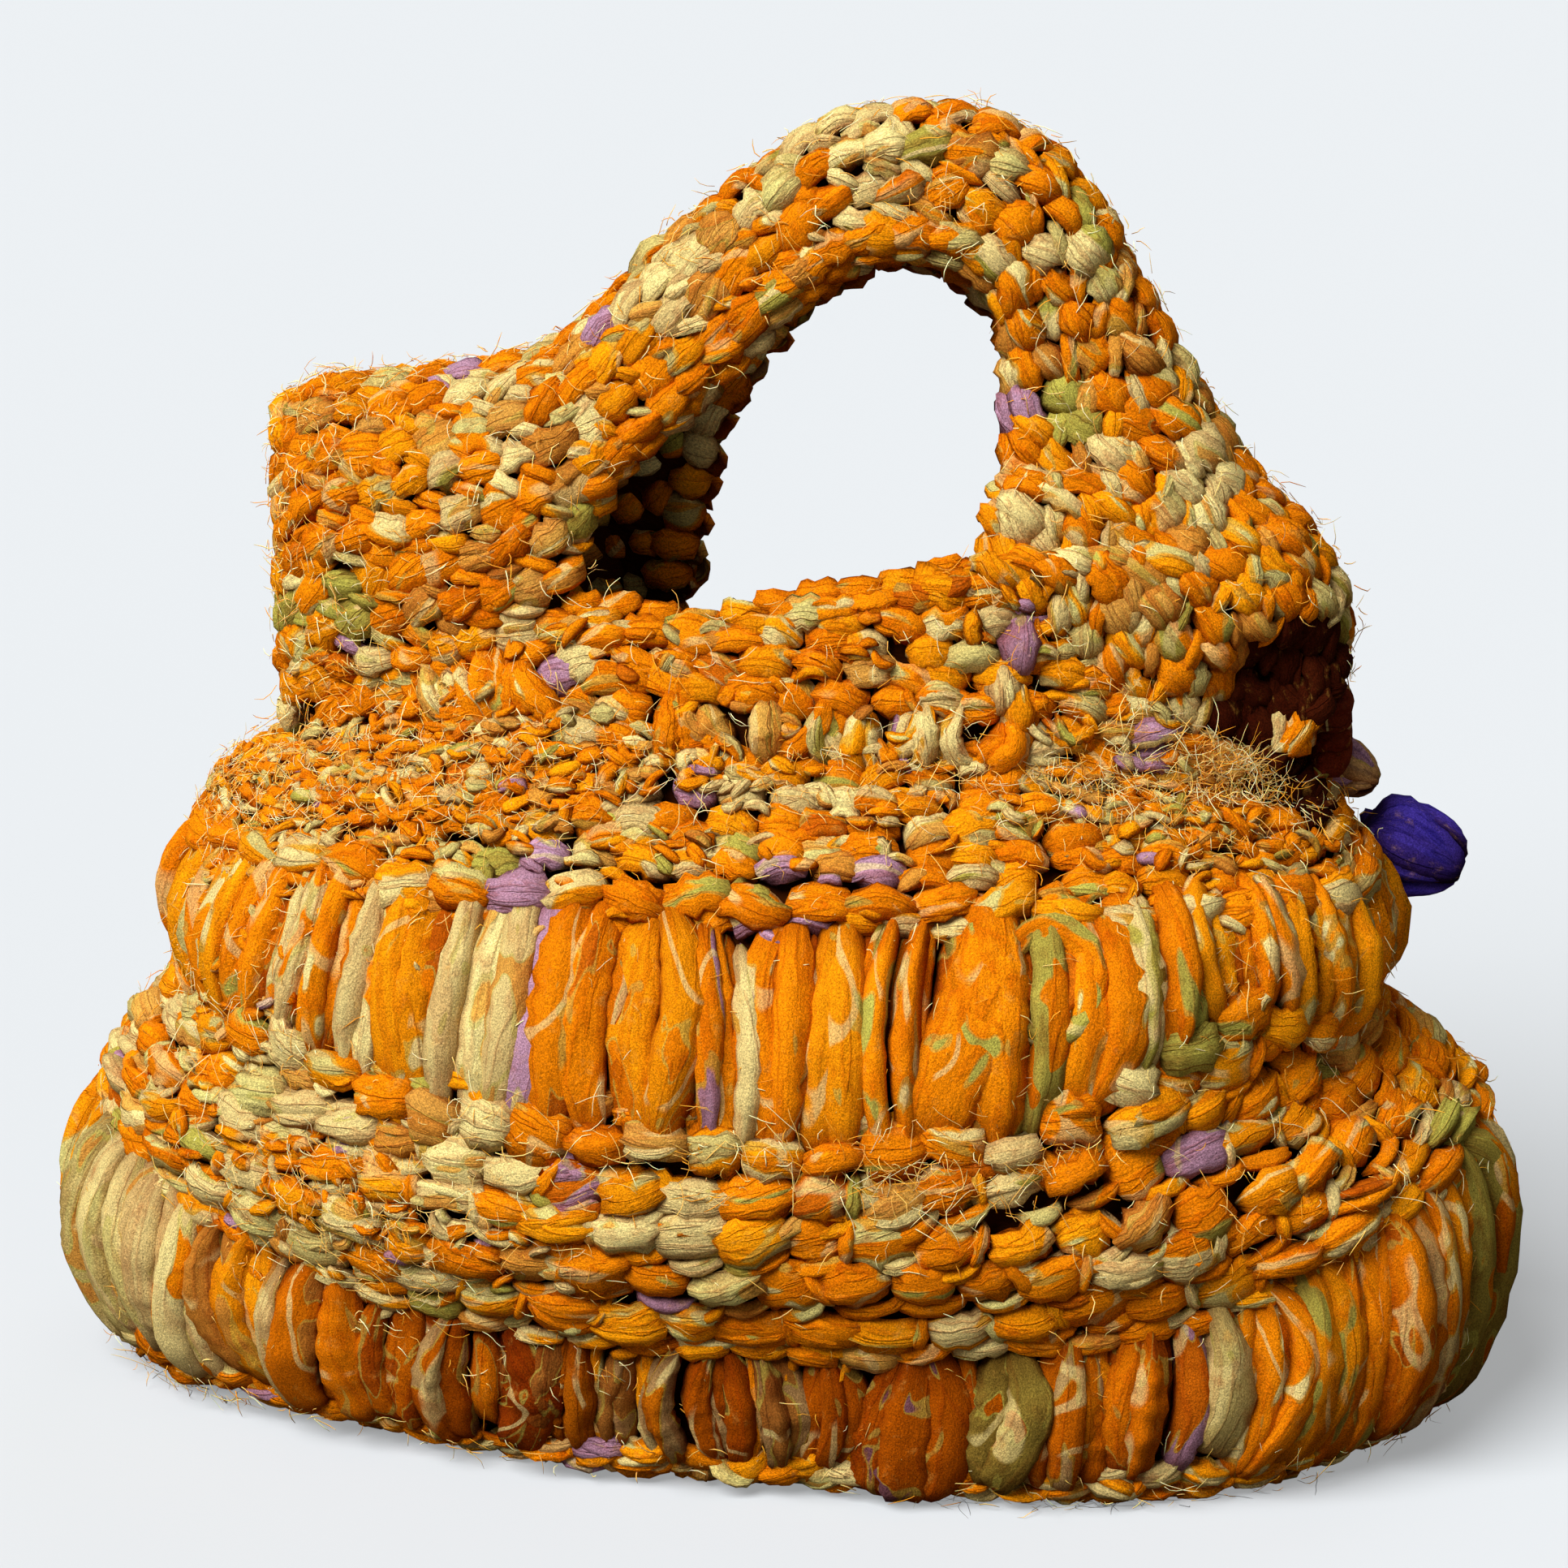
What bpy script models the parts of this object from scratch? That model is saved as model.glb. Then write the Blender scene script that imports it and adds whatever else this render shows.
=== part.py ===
"""Tote bag knitted from torn strips of printed cloth, as separate closed solids.

The bag stands on the floor with its front towards -Y, +X to its right and +Z up. A hollow body
carries two bands of long loops between plain knitted rows. A wide knitted band is folded over the
mouth: its two ends sit on the body's rim as shoulders and its middle is the handle. Two puffed
cloth loops stick out at the right side.
"""

import math

import bmesh
import bpy
from mathutils import Vector

MM = 0.001

# Body
BODY_WIDTH = 420 * MM
BODY_DEPTH = 208 * MM
NECK_HEIGHT = 206 * MM
WALL = 9 * MM

# Neck, the rim that the band sits on and the mouth opens in
NECK_REACH_LEFT = 150 * MM
NECK_REACH_RIGHT = 156 * MM
NECK_HALF_DEPTH = 40 * MM
NECK_SQUARENESS = 2.6
FLAP_RISE = 58 * MM

# Folded band: shoulders and handle
HANDLE_RISE = 185 * MM
STRAP_HALF_DEPTH = 16 * MM
BAND_WALL = 9 * MM
BAND_SQUARENESS = 2.4
SEAM_GAP = 0.9 * MM
LEAST_INNER_DEPTH = 0.1
END_WALL_SHARE = 0.8

# Knitted relief
LOOP_RIB_HEIGHT = 2.6 * MM
LOOP_BULGE = 3.5 * MM
ROW_RIDGE_HEIGHT = 1.9 * MM
COLUMN_RIDGE_HEIGHT = 1.3 * MM
LOOP_CREASE = 0.10

# Side loops of puffed cloth
VIOLET_LOOP_REACH = 30 * MM
VIOLET_LOOP_RADIUS = 18.5 * MM
BROWN_LOOP_REACH = 17 * MM
BROWN_LOOP_RADIUS = 13 * MM
LOOP_SEAT_GAP = 0.7 * MM

# How finely each surface is divided
BODY_COLUMNS = 96
BAND_PROFILE_POINTS = 24
BAND_INNER_POINTS = 8
BAND_STATIONS = 44
LOOP_SIDES = 12
LOOP_CREASE_EVERY = 3
MEASURE_STEPS = 400
NORMAL_STEP = 0.02

# A ring's height goes from its side height to its front or back height by this power of the sine
# of the turn.
FACING_POWER = 1.6

# Rings of the body, from the floor up. Heights are shares of NECK_HEIGHT, reaches shares of half
# of BODY_WIDTH to the left and right and of half of BODY_DEPTH to the front and back.
# name, side height, front height, back height, left, right, front, back, squareness
BODY_SECTIONS = [
    ("base_edge", 0.000, 0.000, 0.000, 0.850, 0.830, 0.790, 0.780, 2.3),
    ("base_turn", 0.026, 0.020, 0.026, 0.930, 0.915, 0.885, 0.880, 2.3),
    ("lower_loops_foot", 0.080, 0.050, 0.080, 0.975, 0.965, 0.925, 0.930, 2.3),
    ("lower_loops_middle", 0.250, 0.130, 0.230, 1.000, 0.995, 0.930, 0.960, 2.3),
    ("lower_loops_head", 0.420, 0.230, 0.400, 0.970, 0.990, 0.960, 0.930, 2.3),
    ("middle_rows", 0.500, 0.390, 0.490, 0.920, 0.945, 1.070, 0.915, 2.25),
    ("upper_loops_foot", 0.590, 0.545, 0.580, 0.862, 0.835, 1.045, 0.880, 2.2),
    ("upper_loops_middle", 0.705, 0.710, 0.705, 0.848, 0.835, 0.965, 0.820, 2.2),
    ("upper_loops_head", 0.810, 0.860, 0.815, 0.815, 0.815, 0.810, 0.715, 2.2),
    ("yoke_rows", 0.870, 0.970, 0.890, 0.795, 0.785, 0.630, 0.590, 2.2),
    ("yoke_head", 0.905, 1.045, 0.945, 0.760, 0.765, 0.510, 0.495, 2.2),
]
RIM = len(BODY_SECTIONS)

# Courses of knitting on the body. Starts and ends count sections of the table above.
# name, start, end, kind, rings
BODY_COURSES = [
    ("bottom_rows", 1.0, 1.9, "rows", 2),
    ("lower_loops", 2.0, 4.0, "loops", 4),
    ("middle_rows", 4.2, 5.8, "rows", 6),
    ("upper_loops", 6.0, 8.0, "loops", 5),
    ("yoke_rows", 8.2, 10.7, "rows", 8),
]
INNER_RINGS = [2.0, 3.0, 4.0, 4.8, 5.6, 6.4, 7.2, 8.0, 8.8, 9.4, 10.0, 10.5]

# Height of the neck's rim. Places are shares of the neck's reach to the left or right, rises are
# shares of FLAP_RISE above NECK_HEIGHT.
# place, front rise, back rise
NECK_RIM = [
    (-1.00, -0.22, -0.22),
    (-0.82, 0.04, -0.02),
    (-0.65, 0.26, 0.12),
    (-0.48, 0.56, 0.24),
    (-0.36, 0.80, 0.33),
    (-0.25, 0.78, 0.30),
    (-0.13, 0.73, 0.25),
    (0.00, 0.85, 0.22),
    (0.16, 0.94, 0.22),
    (0.28, 1.00, 0.27),
    (0.38, 1.08, 0.34),
    (0.50, 0.86, 0.36),
    (0.64, 0.50, 0.26),
    (0.82, 0.18, 0.12),
    (1.00, -0.12, -0.12),
]

# Stations along the folded band, from its left end over the handle to its right end. Places are
# shares of the neck's reach, heights shares of HANDLE_RISE above NECK_HEIGHT. A hem height of 0
# seats that hem on the body's rim. Arch goes from 0 on the rim to 1 on the handle.
# name, fold x, fold z, front hem x, front hem z, back hem x, back hem z, arch
BAND_TABLE = [
    ("left_end", -0.987, 0.481, -0.975, 0.000, -0.975, 0.000, 0.00),
    ("left_corner", -0.907, 0.522, -0.830, 0.000, -0.830, 0.000, 0.00),
    ("left_top", -0.787, 0.530, -0.667, 0.000, -0.660, 0.000, 0.00),
    ("left_shoulder", -0.647, 0.551, -0.513, 0.000, -0.480, 0.000, 0.00),
    ("left_foot", -0.507, 0.576, -0.385, 0.000, -0.310, 0.000, 0.00),
    ("left_leg_low", -0.373, 0.649, -0.347, 0.373, -0.213, 0.238, 0.45),
    ("left_leg_middle", -0.253, 0.751, -0.200, 0.524, -0.147, 0.443, 0.75),
    ("left_leg_high", -0.120, 0.851, -0.053, 0.643, -0.067, 0.573, 0.95),
    ("arch_left", 0.000, 0.924, 0.045, 0.735, 0.032, 0.670, 1.00),
    ("arch_rise", 0.128, 0.987, 0.160, 0.795, 0.154, 0.741, 1.00),
    ("arch_top", 0.269, 1.000, 0.269, 0.808, 0.265, 0.745, 1.00),
    ("arch_fall", 0.378, 0.989, 0.353, 0.784, 0.353, 0.700, 1.00),
    ("arch_right", 0.506, 0.935, 0.410, 0.735, 0.405, 0.640, 1.00),
    ("right_leg_high", 0.609, 0.816, 0.436, 0.659, 0.436, 0.584, 1.00),
    ("right_leg_middle", 0.689, 0.686, 0.439, 0.546, 0.436, 0.476, 0.90),
    ("right_leg_low", 0.776, 0.559, 0.442, 0.449, 0.429, 0.346, 0.65),
    ("right_foot", 0.878, 0.430, 0.423, 0.389, 0.417, 0.211, 0.30),
    ("right_shoulder", 0.981, 0.341, 0.395, 0.000, 0.450, 0.000, 0.00),
    ("right_corner", 1.035, 0.259, 0.560, 0.000, 0.620, 0.000, 0.00),
    ("right_fall", 1.051, 0.178, 0.760, 0.000, 0.800, 0.000, 0.00),
    ("right_end", 1.038, 0.108, 0.950, 0.000, 0.950, 0.000, 0.00),
]

# Soft dents and swells of the body. Turn is in degrees from +X towards the back, place counts
# sections, spreads are in degrees and sections, depth is a share of LOOP_BULGE and swells are
# positive.
# name, turn, place, turn spread, place spread, depth
BODY_DENTS = [
    ("left_waist", 196, 6.0, 20, 0.7, -1.2),
    ("right_waist", 338, 5.8, 22, 0.8, -1.4),
    ("front_left_hollow", 232, 5.4, 14, 0.8, -0.9),
    ("belly", 272, 6.3, 24, 1.2, 1.2),
    ("right_cheek", 312, 7.2, 16, 1.1, 0.9),
    ("left_cheek", 214, 7.1, 15, 1.0, 0.7),
    ("right_shelf_crease", 325, 10.2, 26, 0.6, -1.3),
    ("back_hollow", 95, 6.5, 30, 1.5, -1.3),
    ("lower_right_swell", 328, 3.0, 18, 1.0, 0.8),
    ("lower_left_swell", 205, 3.0, 20, 1.0, 0.7),
    ("base_left_hollow", 235, 1.6, 24, 1.6, -1.7),
    ("base_right_swell", 308, 1.6, 22, 1.6, 1.6),
]

# Rings of a puffed side loop, from its seat on the body to its tip. Out is a share of its reach,
# drop and radius are shares of its radius.
# out, drop, radius
SIDE_LOOP_RINGS = [
    (0.00, 0.00, 0.62),
    (0.12, 0.00, 0.86),
    (0.32, 0.04, 1.00),
    (0.56, 0.14, 0.98),
    (0.78, 0.30, 0.78),
    (0.93, 0.44, 0.48),
]
SIDE_LOOP_TIP = (1.0, 0.50)
SIDE_LOOP_FOOT = SIDE_LOOP_RINGS[:3]

# Where each side loop leaves the body: its turn in degrees and its place in sections.
# name, turn, place, reach, radius
SIDE_LOOPS = [
    ("violet_side_loop", 14, 7.65, VIOLET_LOOP_REACH, VIOLET_LOOP_RADIUS),
    ("brown_side_loop", 14, 9.9, BROWN_LOOP_REACH, BROWN_LOOP_RADIUS),
]

# name, colour, roughness
MATERIALS = {
    "body": ((0.78, 0.33, 0.03), 0.92),
    "handle_band": ((0.80, 0.40, 0.08), 0.92),
    "violet_side_loop": ((0.07, 0.04, 0.30), 0.88),
    "brown_side_loop": ((0.42, 0.22, 0.09), 0.88),
}


def clear_scene():
    """Removes the objects that the file opened with."""
    for obj in list(bpy.data.objects):
        bpy.data.objects.remove(obj)


def blend_table(rows, place):
    """Smooth value of each column of a table of number rows at a fractional row."""
    last = len(rows) - 1
    place = min(max(place, 0.0), float(last))
    row = min(int(place), last - 1)
    share = place - row
    before, start, end, after = (rows[min(max(row + step, 0), last)] for step in (-1, 0, 1, 2))
    found = []
    for a, b, c, d in zip(before, start, end, after):
        bend = 2 * a - 5 * b + 4 * c - d
        twist = 3 * b - a - 3 * c + d
        found.append(b + 0.5 * share * (c - a + share * (bend + share * twist)))
    return found


def interpolate(rows, place):
    """Smooth value of the columns of a table whose first column is the place."""
    place = min(max(place, rows[0][0]), rows[-1][0])
    row = 0
    while place > rows[row + 1][0]:
        row += 1
    share = (place - rows[row][0]) / (rows[row + 1][0] - rows[row][0])
    return blend_table([line[1:] for line in rows], row + share)


def power(value, exponent):
    """Signed power, for superellipses."""
    return math.copysign(abs(value) ** exponent, value)


def neck_x(share):
    """X of a place on the neck, given as a share of its reach."""
    return share * (NECK_REACH_LEFT if share < 0 else NECK_REACH_RIGHT)


def neck_depth(share):
    """Half of the neck's depth from front to back at a place on it."""
    inside = max(0.0, 1 - abs(share) ** NECK_SQUARENESS)
    return NECK_HALF_DEPTH * inside ** (1 / NECK_SQUARENESS)


def rim_height(share, at_back):
    """Height of the neck's rim at a place, on the front or the back."""
    front, back = interpolate(NECK_RIM, share)
    return NECK_HEIGHT + FLAP_RISE * (back if at_back else front)


def rim_point(turn):
    """Point of the neck's rim at a turn in radians from +X towards the back."""
    side = math.cos(turn)
    share = power(side, 2 / NECK_SQUARENESS)
    depth = NECK_HALF_DEPTH * power(math.sin(turn), 2 / NECK_SQUARENESS)
    return Vector((neck_x(share), depth, rim_height(share, math.sin(turn) > 0)))


def section_point(section, turn):
    """Point of one ring of BODY_SECTIONS, given its numbers, at a turn."""
    side_z, front_z, back_z, left, right, front, back, squareness = section
    across, along = math.cos(turn), math.sin(turn)
    reach_x = (left if across < 0 else right) * BODY_WIDTH / 2
    reach_y = (front if along < 0 else back) * BODY_DEPTH / 2
    facing = abs(along) ** FACING_POWER
    middle_z = front_z if along < 0 else back_z
    return Vector((
        reach_x * power(across, 2 / squareness),
        reach_y * power(along, 2 / squareness),
        NECK_HEIGHT * (side_z + (middle_z - side_z) * facing),
    ))


def body_point(place, turn):
    """Point of the body's smooth outer surface at a section place and a turn."""
    numbers = [section[1:] for section in BODY_SECTIONS]
    if place <= RIM - 1:
        return section_point(blend_table(numbers, place), turn)
    head = section_point(numbers[-1], turn)
    return head.lerp(rim_point(turn), place - (RIM - 1))


def body_normal(place, turn):
    """Outward normal of the body's smooth surface."""
    step = NORMAL_STEP
    along = body_point(place, turn + step) - body_point(place, turn - step)
    up = body_point(min(place + step, RIM), turn) - body_point(place - step, turn)
    return along.cross(up).normalized()


def dent_depth(place, turn):
    """Sum of the body's dents and swells at a place, outwards."""
    depth = 0.0
    for _, middle, height, turn_spread, height_spread, share in BODY_DENTS:
        across = (math.degrees(turn) - middle + 180) % 360 - 180
        far = (across / turn_spread) ** 2 + ((place - height) / height_spread) ** 2
        depth += share * LOOP_BULGE * math.exp(-far)
    return depth


def course_rings():
    """Each ring of the body's outer surface: its place, its kind and its share of the course."""
    rings = []
    for _, start, end, kind, count in BODY_COURSES:
        for index in range(count):
            share = index / (count - 1)
            rings.append((start + share * (end - start), kind, share, index))
    return rings


def course_relief(kind, share, index, column):
    """Height of the knitted relief on one ring at one column."""
    if kind == "rows":
        return ROW_RIDGE_HEIGHT * (1 if index % 2 == 0 else -1)
    gathered = math.sin(math.pi * share)
    rib = LOOP_RIB_HEIGHT * (1 if column % 2 == 0 else -1)
    return gathered * (LOOP_BULGE + rib)


def knitted_point(ring, column):
    """Point of the body's knitted outer surface on one of course_rings at one column."""
    place, kind, share, index = ring
    turn = 2 * math.pi * column / BODY_COLUMNS
    relief = course_relief(kind, share, index, column) + dent_depth(place, turn)
    return body_point(place, turn) + relief * body_normal(place, turn)


def add_ring(mesh, points):
    """Adds a ring of vertices to a bmesh."""
    return [mesh.verts.new(point) for point in points]


def join_rings(mesh, lower, upper, outward=True):
    """Quads between two closed rings of as many vertices."""
    count = len(lower)
    for index in range(count):
        after = (index + 1) % count
        corners = [lower[index], lower[after], upper[after], upper[index]]
        mesh.faces.new(corners if outward else corners[::-1])


def finish_object(name, mesh):
    """Makes the named object of a bmesh, with its material and smooth shading."""
    data = bpy.data.meshes.new(name)
    bmesh.ops.recalc_face_normals(mesh, faces=mesh.faces)
    mesh.to_mesh(data)
    mesh.free()
    data.shade_smooth()
    colour, roughness = MATERIALS[name]
    material = bpy.data.materials.new(name)
    material.use_nodes = True
    surface = material.node_tree.nodes["Principled BSDF"]
    surface.inputs["Base Color"].default_value = (*colour, 1.0)
    surface.inputs["Roughness"].default_value = roughness
    surface.inputs["Metallic"].default_value = 0.0
    data.materials.append(material)
    obj = bpy.data.objects.new(name, data)
    bpy.context.scene.collection.objects.link(obj)
    return obj


def make_body():
    """Hollow body: a flat base, knitted relief outside and a plain wall inside, open at the rim."""
    turns = [2 * math.pi * column / BODY_COLUMNS for column in range(BODY_COLUMNS)]
    mesh = bmesh.new()

    outer = [add_ring(mesh, [body_point(0, turn) for turn in turns])]
    for course_ring in course_rings():
        points = [knitted_point(course_ring, column) for column in range(BODY_COLUMNS)]
        for point in points:
            point.z = max(point.z, ROW_RIDGE_HEIGHT)
        outer.append(add_ring(mesh, points))
    outer.append(add_ring(mesh, [rim_point(turn) for turn in turns]))

    floor = []
    for turn in turns:
        edge = body_point(0, turn)
        inset = Vector((edge.x, edge.y, 0)).normalized() * WALL
        floor.append(Vector((edge.x - inset.x, edge.y - inset.y, WALL)))
    inner = [add_ring(mesh, floor)]
    for place in INNER_RINGS:
        ring = []
        for turn in turns:
            inset = (WALL - min(0.0, dent_depth(place, turn))) * body_normal(place, turn)
            ring.append(body_point(place, turn) - inset)
        inner.append(add_ring(mesh, ring))
    lip = []
    for turn in turns:
        point = rim_point(turn)
        towards = Vector((point.x * NECK_HALF_DEPTH / NECK_REACH_LEFT, point.y, 0)).normalized()
        lip.append(point - WALL * towards)
    inner.append(add_ring(mesh, lip))

    for lower, upper in zip(outer, outer[1:]):
        join_rings(mesh, lower, upper)
    for lower, upper in zip(inner, inner[1:]):
        join_rings(mesh, lower, upper, outward=False)
    join_rings(mesh, outer[-1], inner[-1])
    mesh.faces.new(outer[0][::-1])
    mesh.faces.new(inner[0])
    return finish_object("body", mesh)


def band_station(place):
    """Fold point, front hem and back hem of the band at a fractional station."""
    numbers = [station[1:] for station in BAND_TABLE]
    fold_x, fold_z, front_x, front_z, back_x, back_z, arch = blend_table(numbers, place)
    arch = min(max(arch, 0.0), 1.0)
    fold = Vector((neck_x(fold_x), 0, NECK_HEIGHT + HANDLE_RISE * fold_z))
    hems = []
    for share, height, at_back in ((front_x, front_z, False), (back_x, back_z, True)):
        seat = rim_height(share, at_back) + SEAM_GAP
        lifted = max(NECK_HEIGHT + HANDLE_RISE * height, seat)
        depth = neck_depth(share) * (1 - arch) + STRAP_HALF_DEPTH * arch
        hems.append(Vector((neck_x(share), depth if at_back else -depth, lifted)))
    return fold, hems[0], hems[1]


def band_profile(place, count, inset):
    """Points of one cross-section, from the front hem over the fold to the back hem."""
    fold, front, back = band_station(place)
    points = []
    for index in range(count):
        turn = math.pi * index / (count - 1)
        hem = front if turn <= math.pi / 2 else back
        inward = Vector((hem.x - fold.x, 0, hem.z - fold.z))
        length = inward.length
        along = 1 - abs(math.sin(turn)) ** (2 / BAND_SQUARENESS)
        along = inset / length + along * (1 - inset / length)
        depth = max(abs(hem.y) - inset, LEAST_INNER_DEPTH * abs(hem.y))
        across = -power(math.cos(turn), 2 / BAND_SQUARENESS) * depth
        middle = fold + inward * along
        points.append(Vector((middle.x, across, middle.z)))
    return points


def band_places():
    """Fractional stations spaced evenly along the band's middle line, and that line's length."""
    last = len(BAND_TABLE) - 1
    fine = [last * step / MEASURE_STEPS for step in range(MEASURE_STEPS + 1)]
    middles = []
    for place in fine:
        fold, front, _ = band_station(place)
        middles.append((fold + Vector((front.x, 0, front.z))) / 2)
    run = [0.0]
    for before, after in zip(middles, middles[1:]):
        run.append(run[-1] + (after - before).length)
    places = []
    at = 0
    for index in range(BAND_STATIONS):
        target = run[-1] * index / (BAND_STATIONS - 1)
        while run[at + 1] < target and at < MEASURE_STEPS - 1:
            at += 1
        share = (target - run[at]) / (run[at + 1] - run[at])
        places.append(fine[at] + min(max(share, 0.0), 1.0) * (fine[at + 1] - fine[at]))
    return places, run[-1]


def cross_normals(sections, row):
    """Outward normals of one cross-section of a grid of points."""
    before = sections[max(row - 1, 0)]
    after = sections[min(row + 1, len(sections) - 1)]
    here = sections[row]
    normals = []
    for index in range(len(here)):
        low, high = max(index - 1, 0), min(index + 1, len(here) - 1)
        along = after[index] - before[index]
        across = here[high] - here[low]
        normals.append(across.cross(along).normalized())
    return normals


def cap_end(mesh, section):
    """Closes the end of a folded section by pairing its front points with its back points."""
    low, high = 0, len(section) - 1
    while high - low > 2:
        mesh.faces.new([section[low], section[low + 1], section[high - 1], section[high]])
        low, high = low + 1, high - 1
    if high - low == 2:
        mesh.faces.new([section[low], section[low + 1], section[high]])


def band_surface(mesh, sections):
    """Faces of a folded surface with its two closed ends. Returns its open edge as a loop."""
    rows = [add_ring(mesh, points) for points in sections]
    for before, after in zip(rows, rows[1:]):
        for index in range(len(before) - 1):
            mesh.faces.new([before[index], before[index + 1], after[index + 1], after[index]])
    cap_end(mesh, rows[0])
    cap_end(mesh, rows[-1])
    return [row[0] for row in rows] + [row[-1] for row in reversed(rows)]


def make_handle_band():
    """Folded band with shoulders and handle: a hollow fold, closed at both ends, open below."""
    places, run = band_places()
    smooth = [band_profile(place, BAND_PROFILE_POINTS, 0.0) for place in places]
    ridged = []
    last = len(smooth) - 1
    for row, section in enumerate(smooth):
        if row in (0, last):
            ridged.append(section)
            continue
        normals = cross_normals(smooth, row)
        points = []
        for index, (point, normal) in enumerate(zip(section, normals)):
            at_hem = index in (0, len(section) - 1)
            height = 0.0 if at_hem else COLUMN_RIDGE_HEIGHT * (1 if index % 2 else -1)
            points.append(point + normal * height)
        ridged.append(points)

    step = len(BAND_TABLE) - 1
    end_share = BAND_WALL / run * step
    inner_places = [min(max(place, places[0] + end_share), places[-1] - end_share)
                    for place in places]
    inner_places[0] = places[0] + END_WALL_SHARE * end_share
    inner_places[-1] = places[-1] - END_WALL_SHARE * end_share
    inside = [band_profile(place, BAND_INNER_POINTS, BAND_WALL) for place in inner_places]

    mesh = bmesh.new()
    outer_edge = band_surface(mesh, ridged)
    inner_edge = band_surface(mesh, inside)
    join_rings(mesh, outer_edge, inner_edge)
    return finish_object("handle_band", mesh)


def seat_offset(middle, outward, reach, radius):
    """How far a side loop moves out along its axis so that it just clears the knitted body."""
    offset = 0.0
    for ring in course_rings():
        for column in range(BODY_COLUMNS):
            point = knitted_point(ring, column) - middle
            out = point.dot(outward)
            beside = (point - outward * out).length / radius
            if out > -radius and beside < 1.0:
                foot = [(width, start) for start, _, width in SIDE_LOOP_FOOT]
                offset = max(offset, out - reach * interpolate(foot, beside)[0])
    return offset


def make_side_loop(name, turn_degrees, place, reach, radius):
    """Puffed loop of cloth that leaves the body's side, swells and droops."""
    turn = math.radians(turn_degrees)
    outward = body_normal(place, turn)
    side = Vector((-outward.y, outward.x, 0)).normalized()
    up = outward.cross(side)
    down = Vector((0, 0, -1))
    seat = body_point(place, turn)
    seat += outward * (seat_offset(seat, outward, reach, radius) + LOOP_SEAT_GAP)
    mesh = bmesh.new()
    rings = []
    for out, drop, width in SIDE_LOOP_RINGS:
        middle = seat + outward * (reach * out) + down * (radius * drop)
        ring = []
        for index in range(LOOP_SIDES):
            angle = 2 * math.pi * index / LOOP_SIDES
            crease = 1 - LOOP_CREASE * (index % LOOP_CREASE_EVERY == 0)
            spread = radius * width * crease
            ring.append(middle + side * (spread * math.cos(angle)) + up * (spread * math.sin(angle)))
        rings.append(add_ring(mesh, ring))
    for lower, upper in zip(rings, rings[1:]):
        join_rings(mesh, lower, upper)
    mesh.faces.new(rings[0])
    tip_out, tip_drop = SIDE_LOOP_TIP
    tip = mesh.verts.new(seat + outward * (reach * tip_out) + down * (radius * tip_drop))
    for index in range(LOOP_SIDES):
        mesh.faces.new([rings[-1][index], rings[-1][(index + 1) % LOOP_SIDES], tip])
    return finish_object(name, mesh)


def main():
    clear_scene()
    make_body()
    make_handle_band()
    for name, turn_degrees, place, reach, radius in SIDE_LOOPS:
        make_side_loop(name, turn_degrees, place, reach, radius)


main()
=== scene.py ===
"""Looks of the knitted tote bag: torn strips of printed cloth, stitch by stitch, over its solids.

Lengths are in metres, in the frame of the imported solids. The bag's front faces -Y and +X is to its
right. Stitches are puffed strips of cloth laid along the same sections as the solids: rows round
the body, long loops between gathered wraps, and columns of V stitches along the folded band.
"""

import math

import bpy
import numpy as np
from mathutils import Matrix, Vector


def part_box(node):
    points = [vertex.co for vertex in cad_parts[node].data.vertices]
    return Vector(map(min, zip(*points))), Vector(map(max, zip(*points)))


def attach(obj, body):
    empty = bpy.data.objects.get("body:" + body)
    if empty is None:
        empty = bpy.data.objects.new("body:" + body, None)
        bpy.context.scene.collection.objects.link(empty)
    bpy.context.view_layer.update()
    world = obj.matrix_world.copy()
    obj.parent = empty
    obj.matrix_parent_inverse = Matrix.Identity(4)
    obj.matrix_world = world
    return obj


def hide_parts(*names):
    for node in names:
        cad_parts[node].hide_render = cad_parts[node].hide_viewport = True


MM = 0.001

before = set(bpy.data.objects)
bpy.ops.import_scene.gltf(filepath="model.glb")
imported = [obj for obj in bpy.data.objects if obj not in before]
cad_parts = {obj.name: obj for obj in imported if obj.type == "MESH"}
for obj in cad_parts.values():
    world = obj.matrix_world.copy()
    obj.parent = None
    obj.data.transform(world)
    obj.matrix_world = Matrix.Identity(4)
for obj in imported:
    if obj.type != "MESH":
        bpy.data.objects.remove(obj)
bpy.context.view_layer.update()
RANDOM = np.random.default_rng(11)

# Driving sizes of the solids that the stitches lie on
BODY_WIDTH = 420 * MM
BODY_DEPTH = 208 * MM
NECK_HEIGHT = 206 * MM
NECK_REACH_LEFT = 150 * MM
NECK_REACH_RIGHT = 156 * MM
NECK_HALF_DEPTH = 40 * MM
NECK_SQUARENESS = 2.6
FLAP_RISE = 58 * MM
HANDLE_RISE = 185 * MM
STRAP_HALF_DEPTH = 16 * MM
BAND_SQUARENESS = 2.4
WALL = 9 * MM
DENT_UNIT = 3.5 * MM
FACING_POWER = 1.6
# How far the surfaces of the band's halves and of the yoke go, with some to spare
BAND_REACH = 130 * MM
YOKE_REACH = 125 * MM
# Rows and columns of stitches are laid up to this far along them
STITCHED_REACH = 120 * MM
# The band's two halves
FRONT, BACK = 0, 1

FLOOR_GAP = 0.15 * MM
# Stitches sit this deep, so that their tops lie near the solids' surface
SINK = 2.6 * MM

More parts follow.
